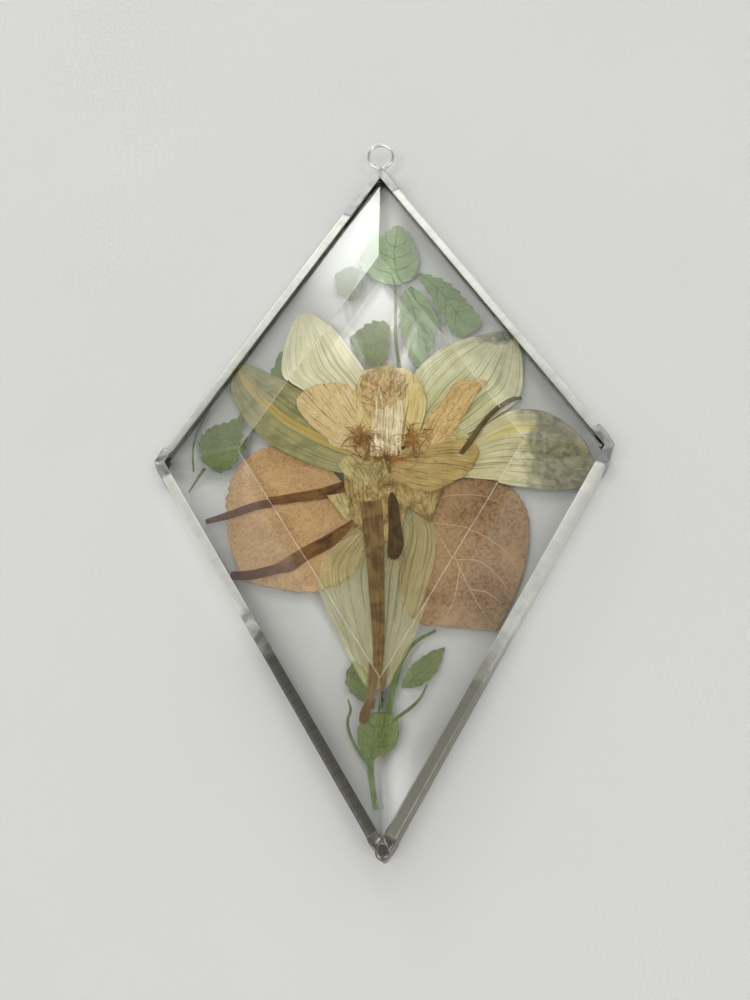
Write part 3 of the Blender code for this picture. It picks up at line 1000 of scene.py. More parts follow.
def u_section(grow: float, lip_grow: float = 0.0) -> List[Tuple[float, float]]:
    """The closed outline of the U came, as distance out from the glass edge and height.

    Args:
        grow: how far the outside stands proud of bare came.
        lip_grow: how far the two lips reach further in.

    Returns:
        The points of the outline, with its corners rounded.
    """
    out = CAME_WALL_OUT + grow
    top = CAME_TOP + grow
    front_in = -FRONT_OVERLAP - lip_grow
    back_in = -BACK_OVERLAP - lip_grow
    # Distance out, height, and how far its rounding reaches along each side
    corners = [
        (out, 0.0, 0.3), (out, top, 0.36),
        (front_in, top, 0.13), (front_in, top - CAME_LIP - grow, 0.08),
        (CAME_WALL_IN, CAME_TOP - CAME_LIP, 0.05), (CAME_WALL_IN, CAME_LIP, 0.05),
        (back_in, CAME_LIP, 0.08), (back_in, 0.0, 0.08),
    ]
    points = []
    steps = 4
    for index, (x, z, radius) in enumerate(corners):
        corner = Vector((x, z))
        before = Vector(corners[index - 1][:2])
        after = Vector(corners[(index + 1) % len(corners)][:2])
        start = corner + (before - corner).normalized() * radius
        end = corner + (after - corner).normalized() * radius
        for step in range(steps + 1):
            t = step / steps
            point = start * (1 - t) ** 2 + corner * 2 * t * (1 - t) + end * t * t
            points.append((point.x, point.y))
    return points


@dataclass
class CameStrip:
    """One straight strip of U came between two corners of the diamond."""

    name: str
    start: str
    end: str
    metal: MetalFinish
    seed: float
    gap: float = 2.4
    sections: int = 90
    waver: float = 0.015

    def build(self) -> None:
        """Sweep the U section along the glass edge with slight hand-made unevenness."""
        first, last = CORNERS[self.start], CORNERS[self.end]
        run = (last - first).normalized()
        out = Vector((first.x + last.x, first.y + last.y)).normalized()
        out = (out - run * out.dot(run)).normalized()
        length = (last - first).length
        outline = u_section(0.0)
        count = len(outline)

        def place(u: float, v: float) -> Vector:
            """Shape the strip.

            Args:
                u: the share of the way round.
                v: the share of the way along.

            Returns:
                The point, in the shared frame.
            """
            offset, height = outline[round(u * count) % count]
            s = self.gap + (length - 2 * self.gap) * v
            # Only the outer wall, the lips' edges and the front lip waver
            if abs(offset) > 0.5:
                offset += self.waver * wander(s * 0.32, height, self.seed)
            if height > CAME_TOP - 0.6:
                height -= self.waver * (0.6 + wander(s * 0.4, offset * 0.6, self.seed + 5))
            spot = first + run * s + out * offset
            return at(spot.x, spot.y, height)

        piece = Piece(self.name + "_strip", self.metal)
        piece.grid(count, self.sections, place, closed=True)
        piece.finish([self.name], "came")


@dataclass
class SolderJoint:
    """Solder that runs round a corner and a little way along both strips."""

    name: str
    corner: str
    before: str
    after: str
    reach_before: float
    reach_after: float
    bulk: float
    lump: float
    seed: float
    metal: MetalFinish = SOLDER_METAL
    point: float = 0.4
    bend: float = 2.6
    creep: float = 0.02
    ring_mm: float = 0.22
    skin: float = 0.03

    def place_ring(self, s: float, offset: float, height: float) -> Vector:
        """Carry a point of the U section round the corner.

        Args:
            s: the distance from the corner, below 0 on the strip before it.
            offset: the distance out from the glass edge.
            height: the height over the back lips.

        Returns:
            The point, in the shared frame.
        """
        corner = CORNERS[self.corner]
        other = CORNERS[self.before if s < 0 else self.after]
        run = (other - corner).normalized()
        out = ((corner + other) / 2).normalized()
        out = (out - run * out.dot(run)).normalized()
        mitre = corner * (1 + offset * (self.point if offset > 0 else 1.0) / INRADIUS)
        if abs(s) < self.bend:
            share = abs(s) / self.bend
            square = corner + run * self.bend + out * offset
            spot = mitre.lerp(square, share)
        else:
            spot = corner + run * abs(s) + out * offset
        return at(spot.x, spot.y, height)

    def build(self, extra: Optional[Callable[[Piece], None]] = None) -> None:
        """Sweep a slightly fatter U section round the corner and roughen it.

        Args:
            extra: adds further shapes to the same piece.
        """
        plain = u_section(0.0, self.creep)
        full = u_section(1.0, self.creep)
        count = len(plain)
        length = self.reach_before + self.reach_after
        rows = int(length / self.ring_mm)

        def place(u: float, v: float) -> Vector:
            """Shape the solder's skin.

            Args:
                u: the share of the way round.
                v: the share of the way along.

            Returns:
                The point, in the shared frame.
            """
            index = round(u * count) % count
            s = -self.reach_before + length * v
            reach = self.reach_before if s < 0 else self.reach_after
            share = max(1 - abs(s) / reach, 0.0)
            skin = self.skin + self.bulk * min(1.0, share * 2.2) ** 0.6
            rough = self.lump * (0.4 + share) * wander(s * 0.55, index * 0.35, self.seed)
            grow = max(skin + rough, 0.015)
            a0, z0 = plain[index]
            a1, z1 = full[index]
            offset = a0 + (a1 - a0) * grow
            height = z0 + (z1 - z0) * grow
            # The inside stands a hair further in than the came's own
            if offset < CAME_WALL_IN + 0.01 and 0.2 < height < CAME_TOP - 0.2:
                offset -= 0.02
            return self.place_ring(s, offset, height)

        piece = Piece(self.name + "_joint", self.metal)
        piece.grid(count, rows, place, closed=True)
        if extra is not None:
            extra(piece)
        low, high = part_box(self.name)
        for vert in piece.bm.verts:
            vert.co.z = min(max(vert.co.z, low.z), high.z)
            vert.co.x = min(max(vert.co.x, CAD_BOX[0].x), CAD_BOX[1].x)
            vert.co.y = max(vert.co.y, CAD_BOX[0].y)
        piece.finish([self.name], "solder")


@dataclass
class HangingLoop:
    """An open wire ring on two legs that stand in the solder of the top corner."""

    radius: float = 2.44
    wire: float = 0.36
    neck_half: float = 0.6
    neck_y: float = 66.4
    leg_ys: Tuple[float, float, float] = (63.48, 64.5, 65.5)
    tilt: float = math.radians(18)
    steps: int = 72

    def route(self) -> List[Vector]:
        """Lead the wire up one leg, round the ring and down the other leg.

        Returns:
            The points of its middle line, in the shared frame.
        """
        middle_z = CAME_TOP / 2
        opening = math.asin(self.neck_half / self.radius)
        turn = math.tau - 2 * opening
        points = [at(-self.neck_half, y, middle_z) for y in self.leg_ys]
        for step in range(self.steps + 1):
            angle = -math.pi / 2 - opening - turn * step / self.steps
            reach = self.radius * (math.cos(opening) + math.sin(angle))
            points.append(
                at(
                    self.radius * math.cos(angle),
                    self.neck_y + reach * math.cos(self.tilt),
                    middle_z + reach * math.sin(self.tilt),
                )
            )
        points += [at(self.neck_half, y, middle_z) for y in reversed(self.leg_ys)]
        return points

    def build(self) -> None:
        """Bend the wire."""
        piece = Piece("wire_loop", WIRE_METAL)
        piece.tube(self.route(), self.wire, sides=16)
        piece.finish(["hanging_loop"], "wire")


@dataclass
class MetalFrame:
    """The four came strips, the four soldered corners and the loop."""

    shoulder_y: float = GLASS_TIP_Y + 0.75
    shoulder_keep: float = 0.12
    drop_y: float = 62.6
    drop_length: float = 3.5
    drop_half: float = 1.35
    drop_thick: float = 1.15
    foot_y: float = -HALF_HEIGHT - 0.25
    foot_keep: float = 0.15
    button_y: float = -62.7
    button_length: float = 1.2
    button_half: float = 1.05
    button_rise: float = 0.42

    def neck(self, piece: Piece) -> None:
        """Flatten the top corner and add the drop of solder round the loop's legs.

        Args:
            piece: the top corner's solder.
        """
        limit = at(0, self.shoulder_y, 0).y
        for vert in piece.bm.verts:
            if vert.co.y > limit:
                vert.co.y = limit + (vert.co.y - limit) * self.shoulder_keep
        middle = CAME_TOP / 2

        def place(u: float, v: float) -> Vector:
            """Shape the tapering drop.

            Args:
                u: the share of the way round.
                v: the share of the way along.

            Returns:
                The point, in the shared frame.
            """
            angle = math.tau * u
            half = (self.drop_half - 0.55 * v ** 0.7) * (1 + 0.08 * wander(u * 5, v * 4, 9.0))
            thick = self.drop_thick - 0.45 * v
            close = math.sqrt(max(0.0, 1 - max(0.0, (v - 0.8) / 0.2) ** 2)) * 0.75 + 0.25
            y = self.drop_y + self.drop_length * v
            return at(half * close * math.cos(angle), y, middle + thick * close * math.sin(angle))

        piece.grid(28, 24, place, closed=True)

    def foot(self, piece: Piece) -> None:
        """Round the bottom corner off under a button of solder.

        Args:
            piece: the bottom corner's solder.
        """
        limit = at(0, self.foot_y, 0).y
        for vert in piece.bm.verts:
            if vert.co.y < limit:
                vert.co.y = limit + (vert.co.y - limit) * self.foot_keep

        def place(u: float, v: float) -> Vector:
            """Shape the button.

            Args:
                u: the share of the way round.
                v: the share of the way along.

            Returns:
                The point, in the shared frame.
            """
            angle = math.tau * u
            turn = math.pi * v
            uneven = 1 + 0.16 * wander(math.cos(angle) * 1.3, math.sin(angle) * 1.3 + v * 2, 12.0)
            across = self.button_half * math.sin(turn) ** 0.7 * uneven
            return at(
                across * math.cos(angle),
                self.button_y + self.button_length * math.cos(turn) * uneven,
                CAME_TOP - 0.1 + self.button_rise * math.sin(turn) * math.sin(angle),
            )

        piece.grid(28, 20, place, closed=True)

    def build(self) -> None:
        """Make the strips, the corners and the loop."""
        strips = [
            ("came_upper_left", "left", "top", CAME_METAL),
            ("came_upper_right", "right", "top", CAME_METAL),
            ("came_lower_left", "left", "bottom", CAME_LOWER_LEFT),
            ("came_lower_right", "right", "bottom", CAME_LOWER_RIGHT),
        ]
        for index, (name, start, end, metal) in enumerate(strips):
            CameStrip(name, start, end, metal, index + 1.0).build()
        # Name, corner, the corners before and after it, the reach towards each, bulk, lump and seed
        joints = [
            SolderJoint("solder_top", "top", "left", "right", 13.0, 6.4, 0.1, 0.05, 1.0, point=1.0),
            SolderJoint("solder_bottom", "bottom", "left", "right", 3.4, 3.0, 0.15, 0.16, 2.0, SOLDER_DARK),
            SolderJoint("solder_left", "left", "top", "bottom", 3.0, 3.4, 0.15, 0.22, 3.0),
            SolderJoint("solder_right", "right", "top", "bottom", 4.4, 4.2, 0.12, 0.12, 4.0),
        ]
        extras = {"solder_top": self.neck, "solder_bottom": self.foot}
        for joint in joints:
            joint.build(extras.get(joint.name))
        HangingLoop().build()


@dataclass
class Daffodil:
    """The pressed flower: tepals, corona, stamens, tube, ovary and stem."""

    tissue: float = 0.05
    scraps: int = 130

    def tepals(self) -> None:
        """The five tepals, each from its base at the heart to its tip."""
        # Finish, left edge, right edge and height
        shapes = {
            "tepal_upper_left": (
                Tissue.TEPAL_UPPER_LEFT,
                [(-2.6, 3.6), (-8.0, 9.2), (-13.2, 13.2), (-16.4, 16.0), (-17.0, 20.6),
                 (-16.1, 26.4), (-15.0, 29.3), (-13.6, 30.4)],
                [(1.2, 3.6), (-0.9, 12.2), (-3.6, 18.4), (-8.2, 25.8), (-11.6, 29.6), (-13.6, 30.4)],
                TEPAL_Z - 0.05,
            ),
            "tepal_left": (
                Tissue.TEPAL_LEFT,
                [(-2.0, -2.6), (-6.1, -3.2), (-12.0, -1.2), (-19.0, 3.0), (-22.3, 6.7),
                 (-25.6, 12.6), (-26.6, 17.0), (-25.6, 20.4)],
                [(0.6, 2.9), (-8.2, 9.3), (-16.1, 14.9), (-20.7, 18.2), (-24.2, 20.3), (-25.6, 20.4)],
                TEPAL_Z + 0.08,
            ),
            "tepal_upper_right": (
                Tissue.TEPAL_UPPER_RIGHT,
                [(1.0, 3.6), (4.0, 10.6), (6.1, 16.4), (9.1, 19.6), (12.0, 21.6), (17.2, 23.7),
                 (21.4, 24.9)],
                [(5.0, 0.6), (10.0, 1.4), (16.0, 4.2), (20.5, 7.4), (23.2, 10.6), (24.2, 16.4),
                 (24.2, 21.6), (23.4, 24.0), (21.4, 24.9)],
                TEPAL_Z - 0.06,
            ),
            "tepal_right": (
                Tissue.TEPAL_RIGHT,
                [(3.0, 0.8), (11.0, 1.4), (16.3, 4.1), (20.9, 7.0), (25.7, 7.6), (29.9, 5.8),
                 (33.2, 1.9), (35.3, -2.4)],
                [(3.0, -3.2), (12.0, -4.6), (17.9, -5.4), (22.2, -6.3), (28.9, -6.9), (33.4, -5.8),
                 (35.3, -2.4)],
                TEPAL_Z + 0.06,
            ),
            "tepal_lower": (
                Tissue.TEPAL_LOWER,
                [(-2.6, -8.0), (-5.2, -13.6), (-8.6, -17.4), (-9.8, -20.2), (-9.0, -24.0),
                 (-6.8, -29.4), (-3.6, -35.9), (-1.8, -38.9), (-0.6, -39.5)],
                [(6.0, -7.6), (8.2, -12.2), (8.8, -16.4), (7.6, -22.2), (4.4, -31.2), (1.4, -36.8),
                 (0.3, -38.9), (-0.6, -39.5)],
                TEPAL_Z - 0.02,
            ),
        }
        for index, (name, (tissue, left, right, height)) in enumerate(shapes.items()):
            piece = Piece(name + "_sheet", tissue.value)
            piece.blade(
                left, right, height, columns=56, rows=76, pleats=9.0, pleat_depth=0.018,
                ripple=0.05, seed=float(index + 1),
            )
            piece.finish([name], "tepal", self.tissue)

    def corona(self) -> None:
        """The torn trumpet: a fan, three standing lobes, a folded strip and a gold lobe."""
        fan, trumpet, yellow, gold, frill, pale, folded = range(7)
        piece = Piece(
            "corona_sheets",
            Tissue.CORONA_FAN.value,
            Tissue.CORONA_TRUMPET.value,
            Tissue.CORONA_YELLOW.value,
            Tissue.CORONA_GOLD.value,
            Tissue.CORONA_FRILL.value,
            Tissue.HEART_PALE.value,
            Tissue.CORONA_STRIP.value,
        )
        z = HEART_Z
        piece.blade(
            [(-2.8, -0.6), (-7.6, 2.4), (-10.8, 5.0), (-13.2, 7.7)],
            [(-1.2, 5.4), (-3.2, 9.6), (-4.2, 12.6)],
            z - 0.08,
            rim=[(-13.2, 7.7), (-14.6, 10.6), (-13.7, 13.0), (-11.4, 14.3), (-8.5, 14.6),
                 (-5.8, 14.0), (-4.2, 12.6)],
            columns=60, rows=50, pleats=10.0, pleat_depth=0.03, ripple=0.05, frill=0.25, seed=11,
            material=fan,
        )
        piece.blade(
            [(-3.6, 0.6), (-8.2, 2.0), (-9.2, 4.2)],
            [(-2.0, 2.4), (-4.6, 4.4), (-6.4, 6.6)],
            z - 0.02,
            rim=[(-9.2, 4.2), (-9.0, 5.8), (-6.4, 6.6)],
            columns=30, rows=30, pleats=4.0, pleat_depth=0.02, seed=12, material=fan,
        )
        piece.blade(
            [(-1.5, 1.5), (-3.6, 6.0), (-4.6, 10.5), (-4.3, 13.8)],
            [(5.2, 1.5), (7.0, 5.5), (7.8, 9.5), (7.3, 13.0)],
            z - 0.02,
            rim=[(-4.3, 13.8), (-3.2, 16.2), (-0.6, 17.4), (2.4, 17.2), (5.2, 16.2), (7.3, 13.0)],
            columns=80, rows=60, pleats=9.0, pleat_depth=0.03, frill=0.2, seed=13,
            material=yellow,
        )
        piece.blade(
            [(-1.8, -0.4), (-1.7, 4.0), (-1.5, 8.0), (-1.7, 12.0)],
            [(3.4, -0.4), (3.5, 4.0), (3.9, 8.0), (3.4, 11.6)],
            z + 0.1,
            rim=[(-1.7, 12.0), (0.6, 13.0), (3.4, 11.6)],
            columns=84, rows=60, pleats=6.0, pleat_depth=0.1, ripple=0.04, frill=0.4, seed=15,
            material=trumpet,
        )
        self._crest(piece, (frill, frill, fan, gold), z + 0.2)
        piece.blade(
            [(4.6, 1.0), (7.2, 5.0), (8.6, 8.0), (11.4, 11.2), (12.5, 13.2), (14.3, 13.8),
             (17.4, 13.4)],
            [(9.6, 0.4), (12.6, 4.4), (13.9, 6.5), (15.6, 9.7), (17.3, 12.4), (17.4, 13.4)],
            z + 0.02, columns=40, rows=64, pleats=6.0, pleat_depth=0.03, ripple=0.07, seed=16,
            material=folded,
        )
        piece.blade(
            [(4.2, 2.6), (9.2, 4.8), (12.4, 4.8), (14.4, 3.4)],
            [(3.6, -1.6), (9.0, -0.6), (14.0, 0.4)],
            z - 0.05,
            rim=[(14.4, 3.4), (15.2, 2.0), (14.0, 0.4)],
            columns=30, rows=40, pleats=4.0, pleat_depth=0.02, seed=17, material=pale,
        )
        piece.blade(
            [(2.6, 0.6), (8.0, 1.4), (12.6, 2.2), (15.4, 1.8)],
            [(1.8, -4.6), (5.0, -6.6), (8.2, -7.4)],
            z + 0.05,
            rim=[(15.4, 1.8), (16.2, -0.2), (15.2, -3.0), (13.2, -4.9), (11.0, -6.0), (8.2, -7.4)],
            columns=60, rows=56, pleats=11.0, pleat_depth=0.04, ripple=0.05, frill=0.3, seed=18,
            material=gold,
        )
        piece.finish(["corona"], "corona", self.tissue)

    def _crest(self, piece: Piece, materials: Sequence[int], height: float) -> None:
        """Small curled scraps along the torn top of the trumpet.

        Args:
            piece: the corona.
            materials: the indices that the scraps draw their finishes from.
            height: how high they lie.
        """
        draw = random.Random(7)
        for index in range(self.scraps):
            across = draw.random()
            x = -2.5 + 5.6 * across
            y = 8.6 + 7.2 * draw.random() ** 0.8 - 1.6 * (2 * across - 1) ** 2
            heading = math.radians(90 + (0.5 - across) * 40 + draw.uniform(-24, 24))
            size = draw.uniform(1.4, 3.2)
            width = draw.uniform(0.22, 0.5)
            bend = draw.uniform(-0.9, 0.9)
            ahead = Vector((math.cos(heading), math.sin(heading)))
            side = ahead.orthogonal()
            middle = Vector((x, y)) + ahead * size * 0.5 + side * bend * size * 0.5
            end = Vector((x, y)) + ahead * size
            end.y = min(end.y, 18.7)
            piece.ribbon(
                [(x, y), tuple(middle), tuple(end)], [width, width, width * 0.3],
                height + draw.uniform(-0.1, 0.05), columns=6, rows=12, arch=draw.uniform(0.04, 0.14),
                ripple=0.05, seed=float(index), material=draw.choice(materials),
            )

    def stamens(self) -> None:
        """Two tufts of brown threads in the mouth, with a few anthers among them."""
        draw = random.Random(3)
        piece = Piece("stamen_threads", Tissue.STAMEN.value)
        # Middle, spread across and along, heading in degrees, and number of threads
        tufts = [
            ((-3.0, 2.2), 2.0, 2.8, 110, 60),
            ((4.8, 2.4), 1.7, 2.4, 70, 52),
            ((0.8, -0.7), 3.8, 0.8, 0, 34),
        ]
        for (x, y), spread_x, spread_y, heading, count in tufts:
            for _ in range(count):
                start = Vector((x + draw.gauss(0, spread_x * 0.45), y + draw.gauss(0, spread_y * 0.45)))
                angle = math.radians(heading + draw.uniform(-75, 75))
                length = draw.uniform(1.4, 3.4)
                bend = draw.uniform(-2.4, 2.4)
                z = HEART_Z + draw.uniform(0.14, 0.28)
                points = []
                for step in range(6):
                    t = step / 5
                    turn = angle + bend * t
                    spot = start + Vector((math.cos(turn), math.sin(turn))) * length * t
                    points.append(at(spot.x, spot.y, z - 0.05 * abs(t - 0.5)))
                piece.tube(points, draw.uniform(0.05, 0.085), sides=5, taper=0.6)
        # Foot, heading in degrees and length
        anthers = [(0.2, -0.1, -25, 1.7), (7.2, 4.3, 0, 1.6), (2.6, -1.0, -15, 2.4)]
        for x, y, heading, length in anthers:
            angle = math.radians(heading)
            ahead = Vector((math.cos(angle), math.sin(angle))) * length
            shares = (0, 0.2, 0.5, 0.8, 1)
            points = [at(x + ahead.x * t, y + ahead.y * t, HEART_Z + 0.24) for t in shares]
            piece.tube(points, 0.11, sides=8, taper=0.7)
        piece.finish(["stamens"], "stamen")

    def heart(self) -> None:
        """The flattened tube under the mouth, with its folded flaps."""
        olive, pale = range(2)
        piece = Piece("tube_sheets", Tissue.HEART.value, Tissue.HEART_PALE.value)
        z = STALK_Z + 0.24
        piece.blade(
            [(-4.6, 0.4), (-6.2, -4.4), (-5.2, -8.6), (-4.6, -12.0)],
            [(4.6, -0.6), (5.2, -5.0), (4.2, -9.6), (3.2, -14.0)],
            z,
            rim=[(-4.6, -12.0), (-2.4, -14.2), (0.4, -15.8), (3.2, -14.0)],
            columns=50, rows=60, pleats=7.0, pleat_depth=0.05, ripple=0.06, seed=21, material=olive,
        )
        piece.blade(
            [(1.8, -3.0), (2.4, -6.8), (3.6, -9.2), (6.0, -11.2), (7.9, -12.8)],
            [(8.4, -4.0), (9.9, -7.2), (8.8, -9.8), (7.9, -12.8)],
            z + 0.06, columns=40, rows=50, pleats=8.0, pleat_depth=0.05, ripple=0.06, seed=22,
            material=olive,
        )
        piece.blade(
            [(-7.6, -1.0), (-6.2, -3.4), (-4.2, -5.6)],
            [(-2.6, 1.6), (0.4, -0.6), (1.2, -3.6)],
            z + 0.08,
            rim=[(-4.2, -5.6), (-1.8, -5.6), (1.2, -3.6)],
            columns=36, rows=30, pleats=4.0, pleat_depth=0.05, ripple=0.08, seed=23, material=pale,
        )
        piece.blade(
            [(-9.0, -7.2), (-7.4, -9.4), (-5.8, -11.8)],
            [(-4.6, -6.6), (-4.4, -9.0), (-4.6, -11.6)],
            z - 0.08,
            rim=[(-5.8, -11.8), (-5.2, -12.0), (-4.6, -11.6)],
            columns=24, rows=36, pleats=2.0, pleat_depth=0.03, seed=24, material=pale,
        )
        piece.finish(["flower_tube"], "stalk", self.tissue)

    def ovary_and_stem(self) -> None:
        """The dark seed case and the stem that runs down to the sprig."""
        piece = Piece("ovary_body", Tissue.OVARY.value)
        piece.ribbon(
            [(1.7, -7.2), (1.9, -9.0), (2.1, -12.0), (2.3, -16.0), (2.0, -18.2), (1.9, -19.0)],
            [0.6, 1.6, 1.9, 2.5, 2.1, 0.9],
            HEART_Z + 0.04, columns=24, rows=50, arch=0.12, pleats=4.0, pleat_depth=0.02, seed=31,
        )
        piece.finish(["ovary"], "stalk", self.tissue)
        piece = Piece("stem_body", Tissue.STEM.value)
        piece.ribbon(
            [(-1.5, -8.6), (-1.4, -12.0), (-1.1, -16.5), (-0.7, -25.8), (-0.5, -32.4), (-0.7, -37.6),
             (-1.1, -39.8), (-1.6, -41.6), (-2.2, -43.2), (-2.6, -44.4)],
            [3.2, 3.4, 3.0, 2.3, 1.8, 1.4, 1.3, 1.3, 1.5, 1.0],
            HEART_Z - 0.06, columns=24, rows=160, arch=0.16, pleats=3.0, pleat_depth=0.03, seed=32,
        )
        piece.finish(["flower_stem"], "stalk", self.tissue)

    def build(self) -> None:
        """Make the whole flower."""
        self.tepals()
        self.heart()
        self.corona()
        self.stamens()
        self.ovary_and_stem()


@dataclass
class Stalk:
    """A flat dry stalk along a route."""

    name: str
    route: Sequence[Point]
    widths: Sequence[float]
    height: float
    tissue: Tissue
    slot: str
    arch: float = 0.08
    thickness: float = 0.06
    rows_per_mm: int = 4

    def build(self) -> None:
        """Lay the stalk as one arched sheet."""
        piece = Piece(self.name + "_body", self.tissue.value)
        rows = max(24, int(Rail(self.route).length * self.rows_per_mm))
        piece.ribbon(
            self.route, self.widths, self.height, columns=14, rows=rows, arch=self.arch, pleats=2.0,
            pleat_depth=0.02, seed=float(len(self.name)),
        )
        piece.finish([self.name], self.slot, self.thickness)


@dataclass
class PressedLeaf:
    """A leaf between two edges that run from its foot to its tip, with raised veins."""

    name: str
    left: Sequence[Point]
    right: Sequence[Point]
    tissue: Tissue
    vein_tissue: Tissue
    slot: str
    veins: Sequence[Sequence[Point]] = ()
    vein_width: float = 0.2
    teeth: int = 0
    tooth: float = 0.0
    height: float = LEAF_Z
    vein_rise: float = 0.035
    thickness: float = 0.05
    fineness: int = 60
    seed: float = 1.0

    def build(self) -> None:
        """Press the leaf and lay its veins on it."""
        piece = Piece(self.name + "_sheet", self.tissue.value, self.vein_tissue.value)
        rows = max(self.fineness, self.teeth * 5)
        piece.blade(
            self.left, self.right, self.height, columns=self.fineness, rows=rows, ripple=0.05,
            teeth=self.teeth, tooth=self.tooth, seed=self.seed,
        )
        for vein in self.veins:
            widths = [self.vein_width * (1 - 0.7 * i / (len(vein) - 1)) for i in range(len(vein))]
            piece.ribbon(
                vein, widths, self.height + self.vein_rise, columns=3, rows=40, arch=0.02, ripple=0.05,
                seed=self.seed, material=1,
            )
        piece.finish([self.name], self.slot, self.thickness)


@dataclass
class Foliage:
    """The brown leaves, the stalks and the green sprigs."""

    def brown_leaves(self) -> None:
        """The two round brown leaves."""
        PressedLeaf(
            "leaf_left",
            [(-6.5, -5.5), (-9.6, -0.8), (-14.4, 1.8), (-19.3, 2.4), (-22.8, 0.2), (-24.8, -4.2),
             (-25.2, -9.3), (-24.2, -15.2), (-21.8, -20.6)],
            [(-5.5, -6.5), (-3.0, -9.5), (-2.8, -15.0), (-4.4, -20.4), (-8.3, -22.8),
             (-12.5, -23.0), (-17.3, -22.1), (-21.8, -20.6)],
            Tissue.LEAF_TAN, Tissue.LEAF_VEIN, "brown_leaf",
            veins=[
                [(-6.2, -4.6), (-8.9, -7.2), (-12.1, -10.4), (-14.3, -13.3), (-17.5, -17.4), (-19.8, -19.4)],
                [(-12.1, -10.4), (-12.2, -14.1), (-12.8, -17.0), (-14.0, -20.0)],
                [(-9.5, -8.2), (-9.0, -11.5), (-9.6, -14.6), (-10.4, -19.0)],
                [(-8.9, -7.2), (-10.9, -7.5), (-15.0, -8.5), (-19.0, -10.6)],
                [(-8.0, -6.2), (-9.0, -3.7), (-12.2, -2.1), (-16.0, -1.4)],
                [(-10.2, -8.4), (-14.0, -6.0), (-18.6, -4.4), (-22.0, -4.6)],
                [(-14.3, -13.3), (-18.0, -14.6), (-21.4, -16.0)],
            ],
            vein_width=0.17, teeth=26, tooth=0.6, fineness=70, seed=41,
        ).build()
        PressedLeaf(
            "leaf_right",
            [(6.2, -9.8), (4.0, -13.0), (2.8, -17.0), (2.8, -24.0), (4.9, -28.7), (9.1, -29.5),
             (13.1, -29.9), (17.3, -30.3)],
            [(6.8, -9.4), (9.8, -6.2), (13.9, -4.9), (17.9, -5.3), (20.6, -6.6), (22.6, -9.6),
             (23.1, -14.0), (22.2, -19.4), (20.2, -24.8), (17.3, -30.3)],
            Tissue.LEAF_BROWN, Tissue.LEAF_VEIN, "brown_leaf",
            veins=[
                [(6.6, -9.8), (7.1, -10.7), (11.0, -18.6), (12.9, -23.0), (14.7, -26.5), (16.8, -29.9)],
                [(7.8, -12.6), (13.4, -13.6), (17.1, -15.6), (20.7, -18.8)],
                [(11.1, -18.6), (14.9, -19.0), (17.8, -21.6), (19.4, -24.0)],
                [(11.6, -20.0), (11.2, -22.6), (10.5, -25.5), (9.0, -28.6)],
                [(9.0, -14.8), (8.0, -18.4), (6.6, -22.0)],
                [(7.4, -11.2), (9.6, -8.2), (14.5, -7.8), (18.0, -8.6)],
                [(13.3, -23.6), (16.0, -24.2), (18.0, -25.8)],
            ],
            vein_width=0.15, teeth=28, tooth=0.35, fineness=70, seed=42,
        ).build()

    def stalks(self) -> None:
        """The two brown stalks over the left leaf and the curl at the right."""
        Stalk(
            "stalk_upper",
            [(-4.4, -5.4), (-7.6, -6.3), (-10.4, -6.8), (-16.4, -7.6), (-20.0, -8.0),
             (-25.0, -9.4), (-29.0, -10.3)],
            [2.5, 2.5, 1.9, 1.6, 1.5, 1.3, 0.9],
            STALK_Z, Tissue.STALK, "stalk",
        ).build()
        Stalk(
            "stalk_lower",
            [(-3.4, -12.4), (-6.0, -13.8), (-8.6, -15.4), (-12.4, -17.5), (-14.2, -18.6),
             (-16.4, -19.3), (-20.8, -20.1), (-24.2, -20.0)],
            [2.5, 2.3, 2.3, 2.4, 2.6, 1.7, 1.6, 1.3],
            STALK_Z, Tissue.STALK, "stalk",
        ).build()
        Stalk(
            "curled_stalk",
            [(13.2, -0.6), (14.8, 1.6), (16.8, 4.6), (18.6, 6.8), (20.4, 8.5), (22.0, 9.5), (23.5, 9.8)],
            [0.8, 1.0, 0.9, 0.85, 0.85, 0.8, 0.5],
            HEART_Z + 0.16, Tissue.CURL, "stalk",
        ).build()

    def green_leaf(
        self,
        name: str,
        left: Sequence[Point],
        right: Sequence[Point],
        tissue: Tissue,
        teeth: int = 0,
        tooth: float = 0.0,
    ) -> None:
        """One small green leaf with a midrib and a few side veins.

        Args:
            name: the node that it replaces.
            left: its left edge, from foot to tip.
            right: its right edge, from foot to tip.
            tissue: its finish.
            teeth: cuts along each edge.
            tooth: how deep they are, before the saw's unevenness.
        """
        start, end = Rail(left), Rail(right)
        rib = [tuple((start.at(t) + end.at(t)) / 2) for t in (0.02, 0.25, 0.5, 0.75, 0.95)]
        veins = [rib]
        for t in (0.25, 0.42, 0.6):
            foot = (start.at(t) + end.at(t)) / 2
            for edge in (start, end):
                knee = foot * 0.4 + edge.at(t + 0.14) * 0.6
                tip = foot * 0.1 + edge.at(t + 0.2) * 0.9
                veins.append([tuple(foot), tuple(knee), tuple(tip)])
        PressedLeaf(
            name, left, right, tissue, Tissue.GREEN_STEM, "green_leaf", veins=veins, vein_width=0.16,
            teeth=teeth, tooth=tooth * 1.8, fineness=36, seed=float(sum(map(ord, name)) % 50),
        ).build()

